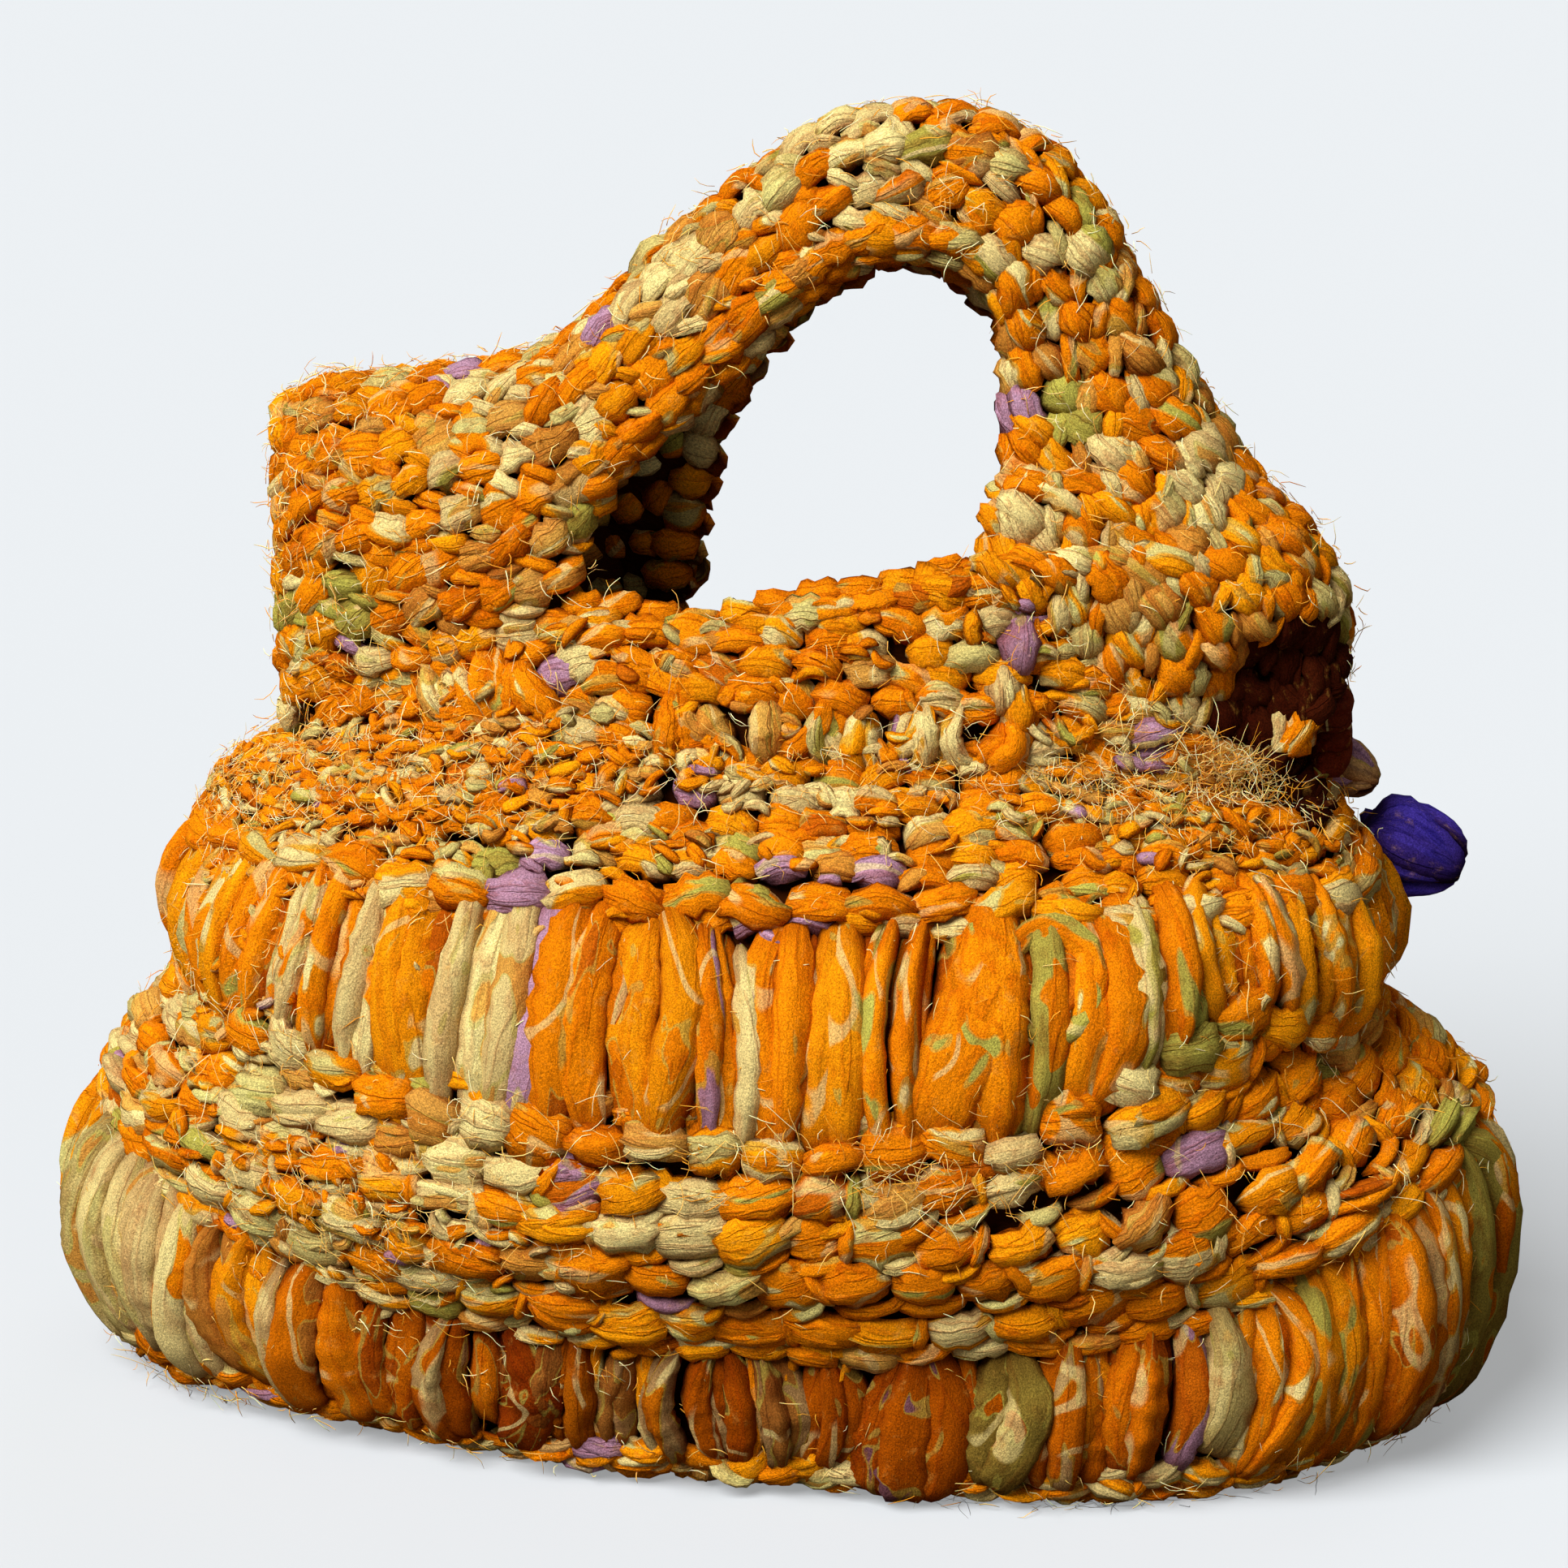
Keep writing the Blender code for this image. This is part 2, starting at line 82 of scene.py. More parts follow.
# The solids' sections, as shares of the sizes above
# side height, front height, back height, left, right, front, back, squareness
BODY_SECTIONS = np.array([
    (0.000, 0.000, 0.000, 0.850, 0.830, 0.790, 0.780, 2.3),
    (0.026, 0.020, 0.026, 0.930, 0.915, 0.885, 0.880, 2.3),
    (0.080, 0.050, 0.080, 0.975, 0.965, 0.925, 0.930, 2.3),
    (0.250, 0.130, 0.230, 1.000, 0.995, 0.930, 0.960, 2.3),
    (0.420, 0.230, 0.400, 0.970, 0.990, 0.960, 0.930, 2.3),
    (0.500, 0.390, 0.490, 0.920, 0.945, 1.070, 0.915, 2.25),
    (0.590, 0.545, 0.580, 0.862, 0.835, 1.045, 0.880, 2.2),
    (0.705, 0.710, 0.705, 0.848, 0.835, 0.965, 0.820, 2.2),
    (0.810, 0.860, 0.815, 0.815, 0.815, 0.810, 0.715, 2.2),
    (0.870, 0.970, 0.890, 0.795, 0.785, 0.630, 0.590, 2.2),
    (0.905, 1.045, 0.945, 0.760, 0.765, 0.510, 0.495, 2.2),
])
RIM = len(BODY_SECTIONS)

# place, front rise, back rise
NECK_RIM = np.array([
    (-1.00, -0.22, -0.22),
    (-0.82, 0.04, -0.02),
    (-0.65, 0.26, 0.12),
    (-0.48, 0.56, 0.24),
    (-0.36, 0.80, 0.33),
    (-0.25, 0.78, 0.30),
    (-0.13, 0.73, 0.25),
    (0.00, 0.85, 0.22),
    (0.16, 0.94, 0.22),
    (0.28, 1.00, 0.27),
    (0.38, 1.08, 0.34),
    (0.50, 0.86, 0.36),
    (0.64, 0.50, 0.26),
    (0.82, 0.18, 0.12),
    (1.00, -0.12, -0.12),
])

# fold x, fold z, front hem x, front hem z, back hem x, back hem z, arch
BAND_TABLE = np.array([
    (-0.987, 0.481, -0.975, 0.000, -0.975, 0.000, 0.00),
    (-0.907, 0.522, -0.830, 0.000, -0.830, 0.000, 0.00),
    (-0.787, 0.530, -0.667, 0.000, -0.660, 0.000, 0.00),
    (-0.647, 0.551, -0.513, 0.000, -0.480, 0.000, 0.00),
    (-0.507, 0.576, -0.385, 0.000, -0.310, 0.000, 0.00),
    (-0.373, 0.649, -0.347, 0.373, -0.213, 0.238, 0.45),
    (-0.253, 0.751, -0.200, 0.524, -0.147, 0.443, 0.75),
    (-0.120, 0.851, -0.053, 0.643, -0.067, 0.573, 0.95),
    (0.000, 0.924, 0.045, 0.735, 0.032, 0.670, 1.00),
    (0.128, 0.987, 0.160, 0.795, 0.154, 0.741, 1.00),
    (0.269, 1.000, 0.269, 0.808, 0.265, 0.745, 1.00),
    (0.378, 0.989, 0.353, 0.784, 0.353, 0.700, 1.00),
    (0.506, 0.935, 0.410, 0.735, 0.405, 0.640, 1.00),
    (0.609, 0.816, 0.436, 0.659, 0.436, 0.584, 1.00),
    (0.689, 0.686, 0.439, 0.546, 0.436, 0.476, 0.90),
    (0.776, 0.559, 0.442, 0.449, 0.429, 0.346, 0.65),
    (0.878, 0.430, 0.423, 0.389, 0.417, 0.211, 0.30),
    (0.981, 0.341, 0.395, 0.000, 0.450, 0.000, 0.00),
    (1.035, 0.259, 0.560, 0.000, 0.620, 0.000, 0.00),
    (1.051, 0.178, 0.760, 0.000, 0.800, 0.000, 0.00),
    (1.038, 0.108, 0.950, 0.000, 0.950, 0.000, 0.00),
])
LAST_STATION = len(BAND_TABLE) - 1

# turn, place, turn spread, place spread, depth
BODY_DENTS = [
    (196, 6.0, 20, 0.7, -1.2),
    (338, 5.8, 22, 0.8, -1.4),
    (232, 5.4, 14, 0.8, -0.9),
    (272, 6.3, 24, 1.2, 1.2),
    (312, 7.2, 16, 1.1, 0.9),
    (214, 7.1, 15, 1.0, 0.7),
    (325, 10.2, 26, 0.6, -1.3),
    (95, 6.5, 30, 1.5, -1.3),
    (328, 3.0, 18, 1.0, 0.8),
    (205, 3.0, 20, 1.0, 0.7),
    (235, 1.6, 24, 1.6, -1.7),
    (308, 1.6, 22, 1.6, 1.6),
]

# Hollow under the right shoulder's end: station, distance, station spread, distance spread, depth
BAND_HOLLOW = (18.95, -32 * MM, 0.75, 24 * MM, 10 * MM)

# Cloth colours, linear
ORANGE = (0.78, 0.218, 0.002)
BRIGHT_ORANGE = (0.84, 0.290, 0.003)
OCHRE = (0.58, 0.235, 0.030)
RUST = (0.54, 0.120, 0.003)
CREAM = (0.72, 0.57, 0.22)
PALE = (0.58, 0.49, 0.16)
LEAF = (0.41, 0.36, 0.06)
MAUVE = (0.42, 0.23, 0.32)
TAN = (0.66, 0.34, 0.06)
VIOLET = (0.065, 0.040, 0.38)
BROWN = (0.58, 0.33, 0.12)
PURPLE = (0.12, 0.03, 0.22)
SHADED_RED = (0.05, 0.008, 0.002)
# The ground behind the stitches, painted dark as the shade that lies between them
CORE_COLOUR = (0.055, 0.012, 0.001)
CORE_SHADE = (0.02, 0.004, 0.001)
# Shade deepens red least and blue most, as light that bounces in orange cloth does
SHADE_POWERS = (1.0, 1.45, 1.6)

# Kinds of strip: ground colour, print colour, how much of the print shows
ORANGE_KINDS = [(ORANGE, CREAM, 0.08), (BRIGHT_ORANGE, PALE, 0.18), (ORANGE, LEAF, 0.14)]
CREAM_KINDS = [(CREAM, ORANGE, 0.14), (PALE, TAN, 0.22), (CREAM, LEAF, 0.20)]
MIXED_KINDS = [(TAN, CREAM, 0.40), (BRIGHT_ORANGE, CREAM, 0.48), (ORANGE, PALE, 0.40)]
RARE_KINDS = [(MAUVE, CREAM, 0.10), (LEAF, CREAM, 0.25), (RUST, ORANGE, 0.35)]
OCHRE_KINDS = [(OCHRE, CREAM, 0.10), (OCHRE, TAN, 0.30), (ORANGE, OCHRE, 0.40)]
STRIPED = (BRIGHT_ORANGE, CREAM, 0.62)
# A strip in deep shade, without print
SHADED = (SHADED_RED, RUST, -1.0)

# Chances of the five groups of kinds above, by place on the bag
PLAIN_CLOTH = (0.75, 0.05, 0.09, 0.04, 0.07)
BAND_CLOTH = (0.62, 0.09, 0.10, 0.03, 0.16)
PALE_CLOTH = (0.26, 0.46, 0.15, 0.08, 0.05)
CRESCENT_CLOTH = (0.46, 0.26, 0.20, 0.03, 0.05)
HEM_CLOTH = (0.44, 0.13, 0.16, 0.09, 0.18)
# Where the left side's pale cloth lies: x, z, and its reach along each
PALE_PATCH = (-185 * MM, 75 * MM, 55 * MM, 50 * MM)

# Strips of one colour at their places on the body
# turn, place, reach in mm, kind
BODY_SPOTS = [
    (251, 8.22, 6, (MAUVE, CREAM, 0.10)),
    (273, 7.90, 8, (MAUVE, CREAM, 0.20)),
    (274, 5.75, 7, (MAUVE, RUST, 0.30)),
    (258, 5.60, 7, (MAUVE, RUST, 0.40)),
    (292, 10.88, 6, (MAUVE, CREAM, 0.05)),
    (326, 10.8, 9, (TAN, CREAM, 0.50)),
    (335, 10.95, 11, SHADED),
    (346, 10.85, 13, SHADED),
    (284, 10.05, 6, (MAUVE, CREAM, 0.30)),
    (310, 10.33, 7, (MAUVE, CREAM, 0.10)),
    (316, 5.88, 7, (MAUVE, CREAM, 0.10)),
    (309, 7.10, 6, (MAUVE, CREAM, 0.10)),
    (330, 3.48, 6, (MAUVE, CREAM, 0.10)),
    (270, 9.18, 7, (CREAM, TAN, 0.05)),
    (275, 9.22, 7, (CREAM, TAN, 0.05)),
    (250, 5.73, 13, (CREAM, TAN, 0.12)),
    (247, 5.33, 9, (CREAM, TAN, 0.12)),
    (261, 5.28, 8, (CREAM, TAN, 0.20)),
    (268, 5.28, 13, (CREAM, ORANGE, 0.20)),
    (296, 10.10, 9, (CREAM, LEAF, 0.12)),
    (290, 8.25, 8, (CREAM, LEAF, 0.20)),
    (222, 6.15, 10, (CREAM, TAN, 0.10)),
    (229, 5.93, 10, (CREAM, TAN, 0.10)),
    (233, 5.75, 9, (CREAM, MAUVE, 0.20)),
    (294, 6.08, 9, (CREAM, TAN, 0.25)),
    (247, 8.30, 7, (LEAF, CREAM, 0.30)),
    (351, 4.60, 11, (LEAF, CREAM, 0.15)),
    (224, 2.60, 12, (CREAM, TAN, 0.05)),
]
# station, distance from the fold in mm, reach in mm, kind
BAND_SPOTS = [
    (9.1, -14, 13, (CREAM, TAN, 0.20)),
    (9.7, -28, 9, (CREAM, ORANGE, 0.20)),
    (15.5, -12, 9, (CREAM, TAN, 0.05)),
    (15.9, -22, 9, (CREAM, TAN, 0.05)),
    (15.1, -34, 8, (CREAM, TAN, 0.10)),
    (13.9, -50, 7, (MAUVE, CREAM, 0.10)),
    (14.3, -40, 7, (LEAF, CREAM, 0.10)),
    (0.4, -68, 7, (LEAF, CREAM, 0.10)),
    (1.2, -70, 7, (LEAF, CREAM, 0.10)),
    (1.2, -84, 7, (MAUVE, CREAM, 0.10)),
    (3.0, -3, 7, (MAUVE, CREAM, 0.10)),
    (3.6, -14, 11, (CREAM, TAN, 0.15)),
    (6.2, -12, 9, (CREAM, TAN, 0.10)),
    (6.3, -28, 8, (CREAM, TAN, 0.10)),
    (18.2, -5, 10, (CREAM, LEAF, 0.20)),
    (15.9, -72, 9, (CREAM, TAN, 0.15)),
    (11.2, 50, 8, (PURPLE, MAUVE, 0.30)),
    (19.15, -27, 14, SHADED),
    (19.5, -12, 12, SHADED),
    (19.3, -42, 10, SHADED),
]


def vary(spread, count=None):
    """Random numbers about 0."""
    return RANDOM.normal(0, spread, count)


def between(low, high, count=None):
    """Random numbers from one value to another."""
    return RANDOM.uniform(low, high, count)


def chance(share):
    """Whether something that happens this often happens now."""
    return RANDOM.random() < share


def pick(choices):
    """One of a few choices, each as likely."""
    return choices[RANDOM.integers(len(choices))]


def blend_rows(table, place):
    """Smooth values of a table's rows at fractional rows, as one array."""
    place = np.clip(np.asarray(place, float), 0, len(table) - 1)
    row = np.minimum(place.astype(int), len(table) - 2)
    share = (place - row)[..., None]
    a, b, c, d = (table[np.clip(row + step, 0, len(table) - 1)] for step in (-1, 0, 1, 2))
    bend = 2 * a - 5 * b + 4 * c - d
    twist = 3 * b - a - 3 * c + d
    return b + 0.5 * share * (c - a + share * (bend + share * twist))


def rim_height(share, at_back):
    """Height of the neck's rim at places on it."""
    share = np.clip(share, -1, 1)
    places = NECK_RIM[:, 0]
    row = np.clip(np.searchsorted(places, share) - 1, 0, len(places) - 2)
    along = row + (share - places[row]) / (places[row + 1] - places[row])
    rises = blend_rows(NECK_RIM[:, 1:], along)
    return NECK_HEIGHT + FLAP_RISE * np.where(at_back, rises[..., 1], rises[..., 0])


def power(value, exponent):
    """Signed power, for superellipses."""
    return np.sign(value) * np.abs(value) ** exponent


def neck_x(share):
    """X of places on the neck, given as shares of its reach."""
    return share * np.where(share < 0, NECK_REACH_LEFT, NECK_REACH_RIGHT)


def neck_depth(share):
    """Half of the neck's depth at places on it."""
    inside = np.maximum(0.0, 1 - np.abs(share) ** NECK_SQUARENESS)
    return NECK_HALF_DEPTH * inside ** (1 / NECK_SQUARENESS)


def ring_points(numbers, turn):
    """Points of body sections, given their numbers, at turns."""
    side_z, front_z, back_z, left, right, front, back, squareness = np.moveaxis(numbers, -1, 0)
    across, along = np.cos(turn), np.sin(turn)
    reach_x = np.where(across < 0, left, right) * BODY_WIDTH / 2
    reach_y = np.where(along < 0, front, back) * BODY_DEPTH / 2
    middle_z = np.where(along < 0, front_z, back_z)
    height = side_z + (middle_z - side_z) * np.abs(along) ** FACING_POWER
    x = reach_x * power(across, 2 / squareness)
    y = reach_y * power(along, 2 / squareness)
    return np.stack([x, y, NECK_HEIGHT * height], -1)


def rim_points(turn):
    """Points of the neck's rim at turns."""
    share = power(np.cos(turn), 2 / NECK_SQUARENESS)
    depth = NECK_HALF_DEPTH * power(np.sin(turn), 2 / NECK_SQUARENESS)
    return np.stack([neck_x(share), depth, rim_height(share, np.sin(turn) > 0)], -1)


def dent_depth(turn, place):
    """Sum of the body's dents and swells at places, outwards."""
    depth = np.zeros(np.broadcast(turn, place).shape)
    for middle, height, turn_spread, height_spread, share in BODY_DENTS:
        across = (np.degrees(turn) - middle + 180) % 360 - 180
        far = (across / turn_spread) ** 2 + ((place - height) / height_spread) ** 2
        depth += share * DENT_UNIT * np.exp(-far)
    return depth


def unit(vectors):
    """Vectors scaled to a length of 1."""
    return vectors / np.maximum(np.linalg.norm(vectors, axis=-1, keepdims=True), 1e-12)


def travelled(points):
    """Lengths along lines of points, which run along the last axis but one."""
    steps = np.linalg.norm(np.diff(points, axis=-2), axis=-1)
    return np.concatenate([np.zeros((*steps.shape[:-1], 1)), np.cumsum(steps, axis=-1)], axis=-1)


def along_line(points, run, distances):
    """Points at distances along a line of points, and straight on beyond its end."""
    inside = [np.interp(distances, run, points[:, axis]) for axis in range(3)]
    beyond = np.maximum(distances - run[-1], 0)[:, None] * unit(points[-1] - points[-2])
    return np.stack(inside, -1) + beyond


class Surface:
    """Grid of points over a shape. U runs along the rows of stitches, v across them.

    Ends holds the distances v at which the shape itself stops, a row for each side.
    """

    def __init__(self, us, vs, points, closed=False, ends=()):
        self.us, self.vs, self.points, self.closed, self.ends = us, vs, points, closed, ends
        if closed:
            wrapped = np.concatenate([points[-2:-1], points, points[1:2]])
            along = np.gradient(wrapped, us[1] - us[0], axis=0)[1:-1]
        else:
            along = np.gradient(points, us, axis=0)
        across = np.gradient(points, vs, axis=1)
        self.normals = unit(np.cross(along, across))
        self.along, self.across = along, across

    def sample(self, grid, u, v):
        """Values of a grid at places, blended from its four nearest points."""
        if self.closed:
            u = self.us[0] + (u - self.us[0]) % (self.us[-1] - self.us[0])
        i = np.clip((u - self.us[0]) / (self.us[1] - self.us[0]), 0, len(self.us) - 1.001)
        j = np.clip((v - self.vs[0]) / (self.vs[1] - self.vs[0]), 0, len(self.vs) - 1.001)
        row, column = i.astype(int), j.astype(int)
        s, t = (i - row)[..., None], (j - column)[..., None]
        low = grid[row, column] * (1 - t) + grid[row, column + 1] * t
        high = grid[row + 1, column] * (1 - t) + grid[row + 1, column + 1] * t
        return low * (1 - s) + high * s

    def metric(self, u, v, across=False):
        """Metres in a unit of u at places, or in a unit of v."""
        return np.linalg.norm(self.sample(self.across if across else self.along, u, v), axis=-1)

    def at(self, u, v):
        """Points and normals at places."""
        u, v = np.broadcast_arrays(np.asarray(u, float), np.asarray(v, float))
        return self.sample(self.points, u, v), unit(self.sample(self.normals, u, v))

    def walk(self, u, v, dx, dy):
        """Points and normals at steps of dx along and dy across from one place, in metres."""
        us = u + dx / max(self.metric(u, v), 1e-6)
        vs = v + dy / max(self.metric(u, v, across=True), 1e-6)
        return self.at(us, vs)

    def end(self, u, side=0):
        """Distance at which the shape itself stops."""
        return np.interp(u % (2 * math.pi) if self.closed else u, self.us, self.ends[side])

    def run(self, v):
        """Fine places along a line of constant v and the length to each of them."""
        us = np.linspace(self.us[0], self.us[-1], 800)
        return us, travelled(self.sample(self.points, us, np.broadcast_to(v, us.shape)))

    def spaced(self, v, pitch, start=0.0):
        """Places a pitch apart along a line of constant v."""
        us, run = self.run(v)
        count = max(1, int(round(run[-1] / pitch)))
        targets = (np.arange(count) + start % 1.0) * run[-1] / count
        return np.interp(targets, run, us)


def make_body_surface():
    """The body's smooth outer surface: u is the turn, v counts sections."""
    turns = np.linspace(0, 2 * math.pi, 481)
    places = np.linspace(0, RIM, 221)
    grid_turn, grid_place = np.meshgrid(turns, places, indexing="ij")
    points = ring_points(blend_rows(BODY_SECTIONS, grid_place), grid_turn)
    head = ring_points(np.broadcast_to(BODY_SECTIONS[-1], (*grid_turn.shape, 8)), grid_turn)
    share = np.clip(grid_place - (RIM - 1), 0, 1)[..., None]
    rim = rim_points(grid_turn)
    points = np.where(share > 0, head * (1 - share) + rim * share, points)
    smooth = Surface(turns, places, points, closed=True)
    dented = points + smooth.normals * dent_depth(grid_turn, grid_place)[..., None]
    return Surface(turns, places, dented, closed=True)


def make_yoke_surface(body, start_place, reach):
    """The body above a section: u is the turn, v the distance up from that section."""
    grid_turn, grid_place = np.meshgrid(body.us, np.linspace(start_place, RIM, 121), indexing="ij")
    points, _ = body.at(grid_turn, grid_place)
    run = travelled(points)
    distances = np.linspace(0, reach, 81)
    grid = np.array([along_line(*line, distances) for line in zip(points, run)])
    return Surface(body.us, distances, grid, closed=True, ends=[run[:, -1]])


def make_band_surface():
    """The folded band: u counts stations, v is the distance from the fold, below 0 in front."""
    stations = np.linspace(0, LAST_STATION, 401)
    fold_x, fold_z, front_x, front_z, back_x, back_z, arch = blend_rows(BAND_TABLE, stations).T
    arch = np.clip(arch, 0, 1)
    fold = np.stack([neck_x(fold_x), 0 * arch, NECK_HEIGHT + HANDLE_RISE * fold_z], -1)
    angles = np.linspace(math.pi / 2, 0, 61)
    along = (1 - np.sin(angles) ** (2 / BAND_SQUARENESS))[None, :, None]
    across = np.cos(angles) ** (2 / BAND_SQUARENESS)
    distances = np.linspace(-BAND_REACH, BAND_REACH, 131)
    sides, ends = [], []
    for share, height, at_back in ((front_x, front_z, False), (back_x, back_z, True)):
        lifted = np.maximum(NECK_HEIGHT + HANDLE_RISE * height, rim_height(share, at_back))
        depth = neck_depth(share) * (1 - arch) + STRAP_HALF_DEPTH * arch
        hem = np.stack([neck_x(share), 0 * arch, lifted], -1)
        points = fold[:, None] * (1 - along) + hem[:, None] * along
        points[..., 1] = (depth if at_back else -depth)[:, None] * across
        run = travelled(points)
        sides.append([along_line(*line, np.abs(distances)) for line in zip(points, run)])
        ends.append(run[:, -1])
    grid = np.where(distances[:, None] < 0, *sides)
    station, distance, station_spread, distance_spread, depth = BAND_HOLLOW
    far = ((stations[:, None] - station) / station_spread) ** 2
    far = far + ((distances[None, :] - distance) / distance_spread) ** 2
    smooth = Surface(stations, distances, grid)
    hollowed = grid - smooth.normals * (depth * np.exp(-far ** 2))[..., None]
    return Surface(stations, distances, hollowed, ends=ends)


def add_object(name, data):
    """An object in the scene with its data."""
    obj = bpy.data.objects.new(name, data)
    bpy.context.scene.collection.objects.link(obj)
    return obj


def add_piece(name, points, faces, material, slot, replaced=None):
    """One mesh of the bag, tied to the frame."""
    data = bpy.data.meshes.new(name)
    data.from_pydata(points.tolist(), [], faces)
    data.shade_smooth()
    data.materials.append(material)
    obj = add_object(name, data)
    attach(obj, "root")
    if replaced:
        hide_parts(replaced)
    return data


class Cloth:
    """Strips of cloth that become one mesh."""

    def __init__(self, name):
        self.name = name
        self.points, self.quads, self.ends = [], [], []
        self.cloth, self.ground, self.motif = [], [], []
        self.count = 0

    def strip(self, path, normals, widths, heights, kind, sides=8, pleats=3, pleat=0.10, drift=0.0,
              crumple=0.09, dim=1.0):
        """One strip: a closed tube, flat below and puffed above, pleated along its length."""
        rings = len(path)
        tangents = unit(np.gradient(path, axis=0))
        side = unit(np.cross(tangents, normals))
        up = np.cross(side, tangents)
        angles = np.arange(sides)[None, :] * 2 * math.pi / sides
        phase, second = between(0, 2 * math.pi, 2)
        along = np.linspace(0, 1, rings)[:, None]
        depth = pleat * (0.7 + 0.9 * np.abs(2 * along - 1))
        lobes = np.abs(np.cos(0.5 * pleats * angles + phase + drift * along))
        folded = 1 + 1.6 * depth * (2 * lobes - 1.27)
        folded = folded + 0.4 * depth * np.cos((pleats + 2) * angles + second - drift * along)
        waves = vary(1, (2, 3)) * [[750.0], [1300.0]]
        rough = [np.sin(path @ wave)[:, None] * np.cos(angles + 40 * wave[0]) for wave in waves]
        folded = folded + crumple * (rough[0] + 0.7 * rough[1])
        x = np.cos(angles) * widths[:, None] * folded
        z = np.sin(angles) * heights[:, None] * folded
        z = np.where(z < 0, 0.6 * z, z)
        points = path[:, None] + side[:, None] * x[..., None] + up[:, None] * z[..., None]
        points[..., 2] = np.maximum(points[..., 2], FLOOR_GAP)
        index = self.count + np.arange(rings * sides).reshape(rings, sides)
        after = np.roll(index, -1, axis=1)
        quads = np.stack([index[:-1], after[:-1], after[1:], index[1:]], -1)
        self.points.append(points.reshape(-1, 3))
        self.quads += quads.reshape(-1, 4).tolist()
        self.ends += [index[0, ::-1].tolist(), index[-1].tolist()]
        self.count += rings * sides
        local = np.broadcast_arrays(travelled(path)[:, None], np.cos(angles) * widths.max(),
                                    np.sin(angles) * heights.max())
        self.cloth.append((np.stack(local, -1) + between(-5, 5, 3)).reshape(-1, 3))
        ground, motif, amount = kind
        shade = dim * between(0.84, 1.10) * np.ones((rings, sides))
        if sides > 3:
            shade = shade * (0.24 + 0.76 * np.clip((np.sin(angles) + 0.32) / 0.95, 0, 1))
            shade = shade * (0.55 + 0.45 * np.clip(np.minimum(along, 1 - along) / 0.20, 0, 1))
        shade = shade.reshape(-1, 1)
        tint = shade ** SHADE_POWERS
        self.ground.append(np.hstack([np.array(ground) * tint, np.ones_like(shade)]))
        self.motif.append(np.hstack([np.array(motif) * tint, np.full_like(shade, amount)]))

    def finish(self, material, slot, replaced=None):
        """Makes the piece, with what its material reads at each point."""
        data = add_piece(self.name, np.concatenate(self.points), self.quads + self.ends, material, slot,
                         replaced)
        for name, kind, field, values in (
            ("cloth", "FLOAT_VECTOR", "vector", self.cloth),
            ("ground", "FLOAT_COLOR", "color", self.ground),
            ("motif", "FLOAT_COLOR", "color", self.motif),
        ):
            attribute = data.attributes.new(name, kind, "POINT")
            attribute.data.foreach_set(field, np.concatenate(values).astype(np.float32).reshape(-1))


SPOTS = []


def add_spots(surface, table, scale):
    """Notes where strips of one colour lie, as points, reaches and kinds."""
    for first, second, reach, kind in table:
        point, _ = surface.at(first * scale[0], second * scale[1])
        SPOTS.append((point, reach * MM, kind))


def pick_kind(chances, point):
    """A kind of strip: the kind of a spot close by, else drawn by the chances of the groups."""
    for place, reach, kind in SPOTS:
        if np.abs(point - place).max() < reach and np.linalg.norm(point - place) < reach:
            return kind
    x, z, reach_x, reach_z = PALE_PATCH
    paler = math.exp(-((point[0] - x) / reach_x) ** 2 - ((point[2] - z) / reach_z) ** 2)
    mixed = np.array(chances) * (1 - paler) + np.array(PALE_CLOTH) * paler
    group = RANDOM.choice(5, p=mixed / mixed.sum())
    kinds = (ORANGE_KINDS, CREAM_KINDS, MIXED_KINDS, RARE_KINDS, OCHRE_KINDS)[group]
    return pick(kinds)


def turned(x, y, angle):
    """Steps along and across a surface, turned by an angle."""
    return x * math.cos(angle) - y * math.sin(angle), x * math.sin(angle) + y * math.cos(angle)


def bean(cloth, surface, u, v, length, width, height, chances, tilt=0.0, bend=0.0, lift=0.0,
         slope=0.0, blunt=0.5, inward=False, detail=None):
    """One puffed stitch: a short strip that swells in its middle and dips in at its ends."""
    centre, outward = surface.at(u, v)
    in_front = outward[1] < 0.3 and outward[2] > -0.8 and not inward
    rings, sides = detail or ((8, 12) if in_front else (6, 6))
    share = np.linspace(-1, 1, rings)
    arch = np.sqrt(1 - share ** 2)
    dx, dy = share * length / 2, bend * (1 - share ** 2)
    path, normals = surface.walk(u, v, *turned(dx, dy, tilt))
    if inward:
        normals = -normals
    else:
        lift = lift - SINK
    rise = lift + height * 0.55 * (arch - 0.6) + slope * share
    swell = 0.22 + 0.78 * arch ** (2 * blunt)
    wobble = 1 + vary(0.11, rings)
    if chance(0.25):
        width, height = width * 1.18, height * 0.72
    kind = chances if isinstance(chances[0], tuple) else pick_kind(chances, centre)
    cloth.strip(path + normals * rise[:, None], normals, width / 2 * swell * wobble, height / 2 * swell,
                kind, sides=sides, pleats=RANDOM.integers(3, 6), pleat=between(0.09, 0.16),
                drift=vary(1.0))
    if in_front and width > 7 * MM and chance(0.4):
        aside = RANDOM.choice((-1, 1)) * width * between(0.10, 0.28)
        path, normals = surface.walk(u, v, *turned(dx, dy + aside * arch, tilt + vary(0.16)))
        rise = lift + height * (0.55 * (arch - 0.6) + 0.26 * arch) + slope * share
        cloth.strip(path + normals * rise[:, None], normals, 0.21 * width * swell, 0.26 * height * swell,
                    kind, sides=6, pleats=2, pleat=0.10, drift=vary(1.2))


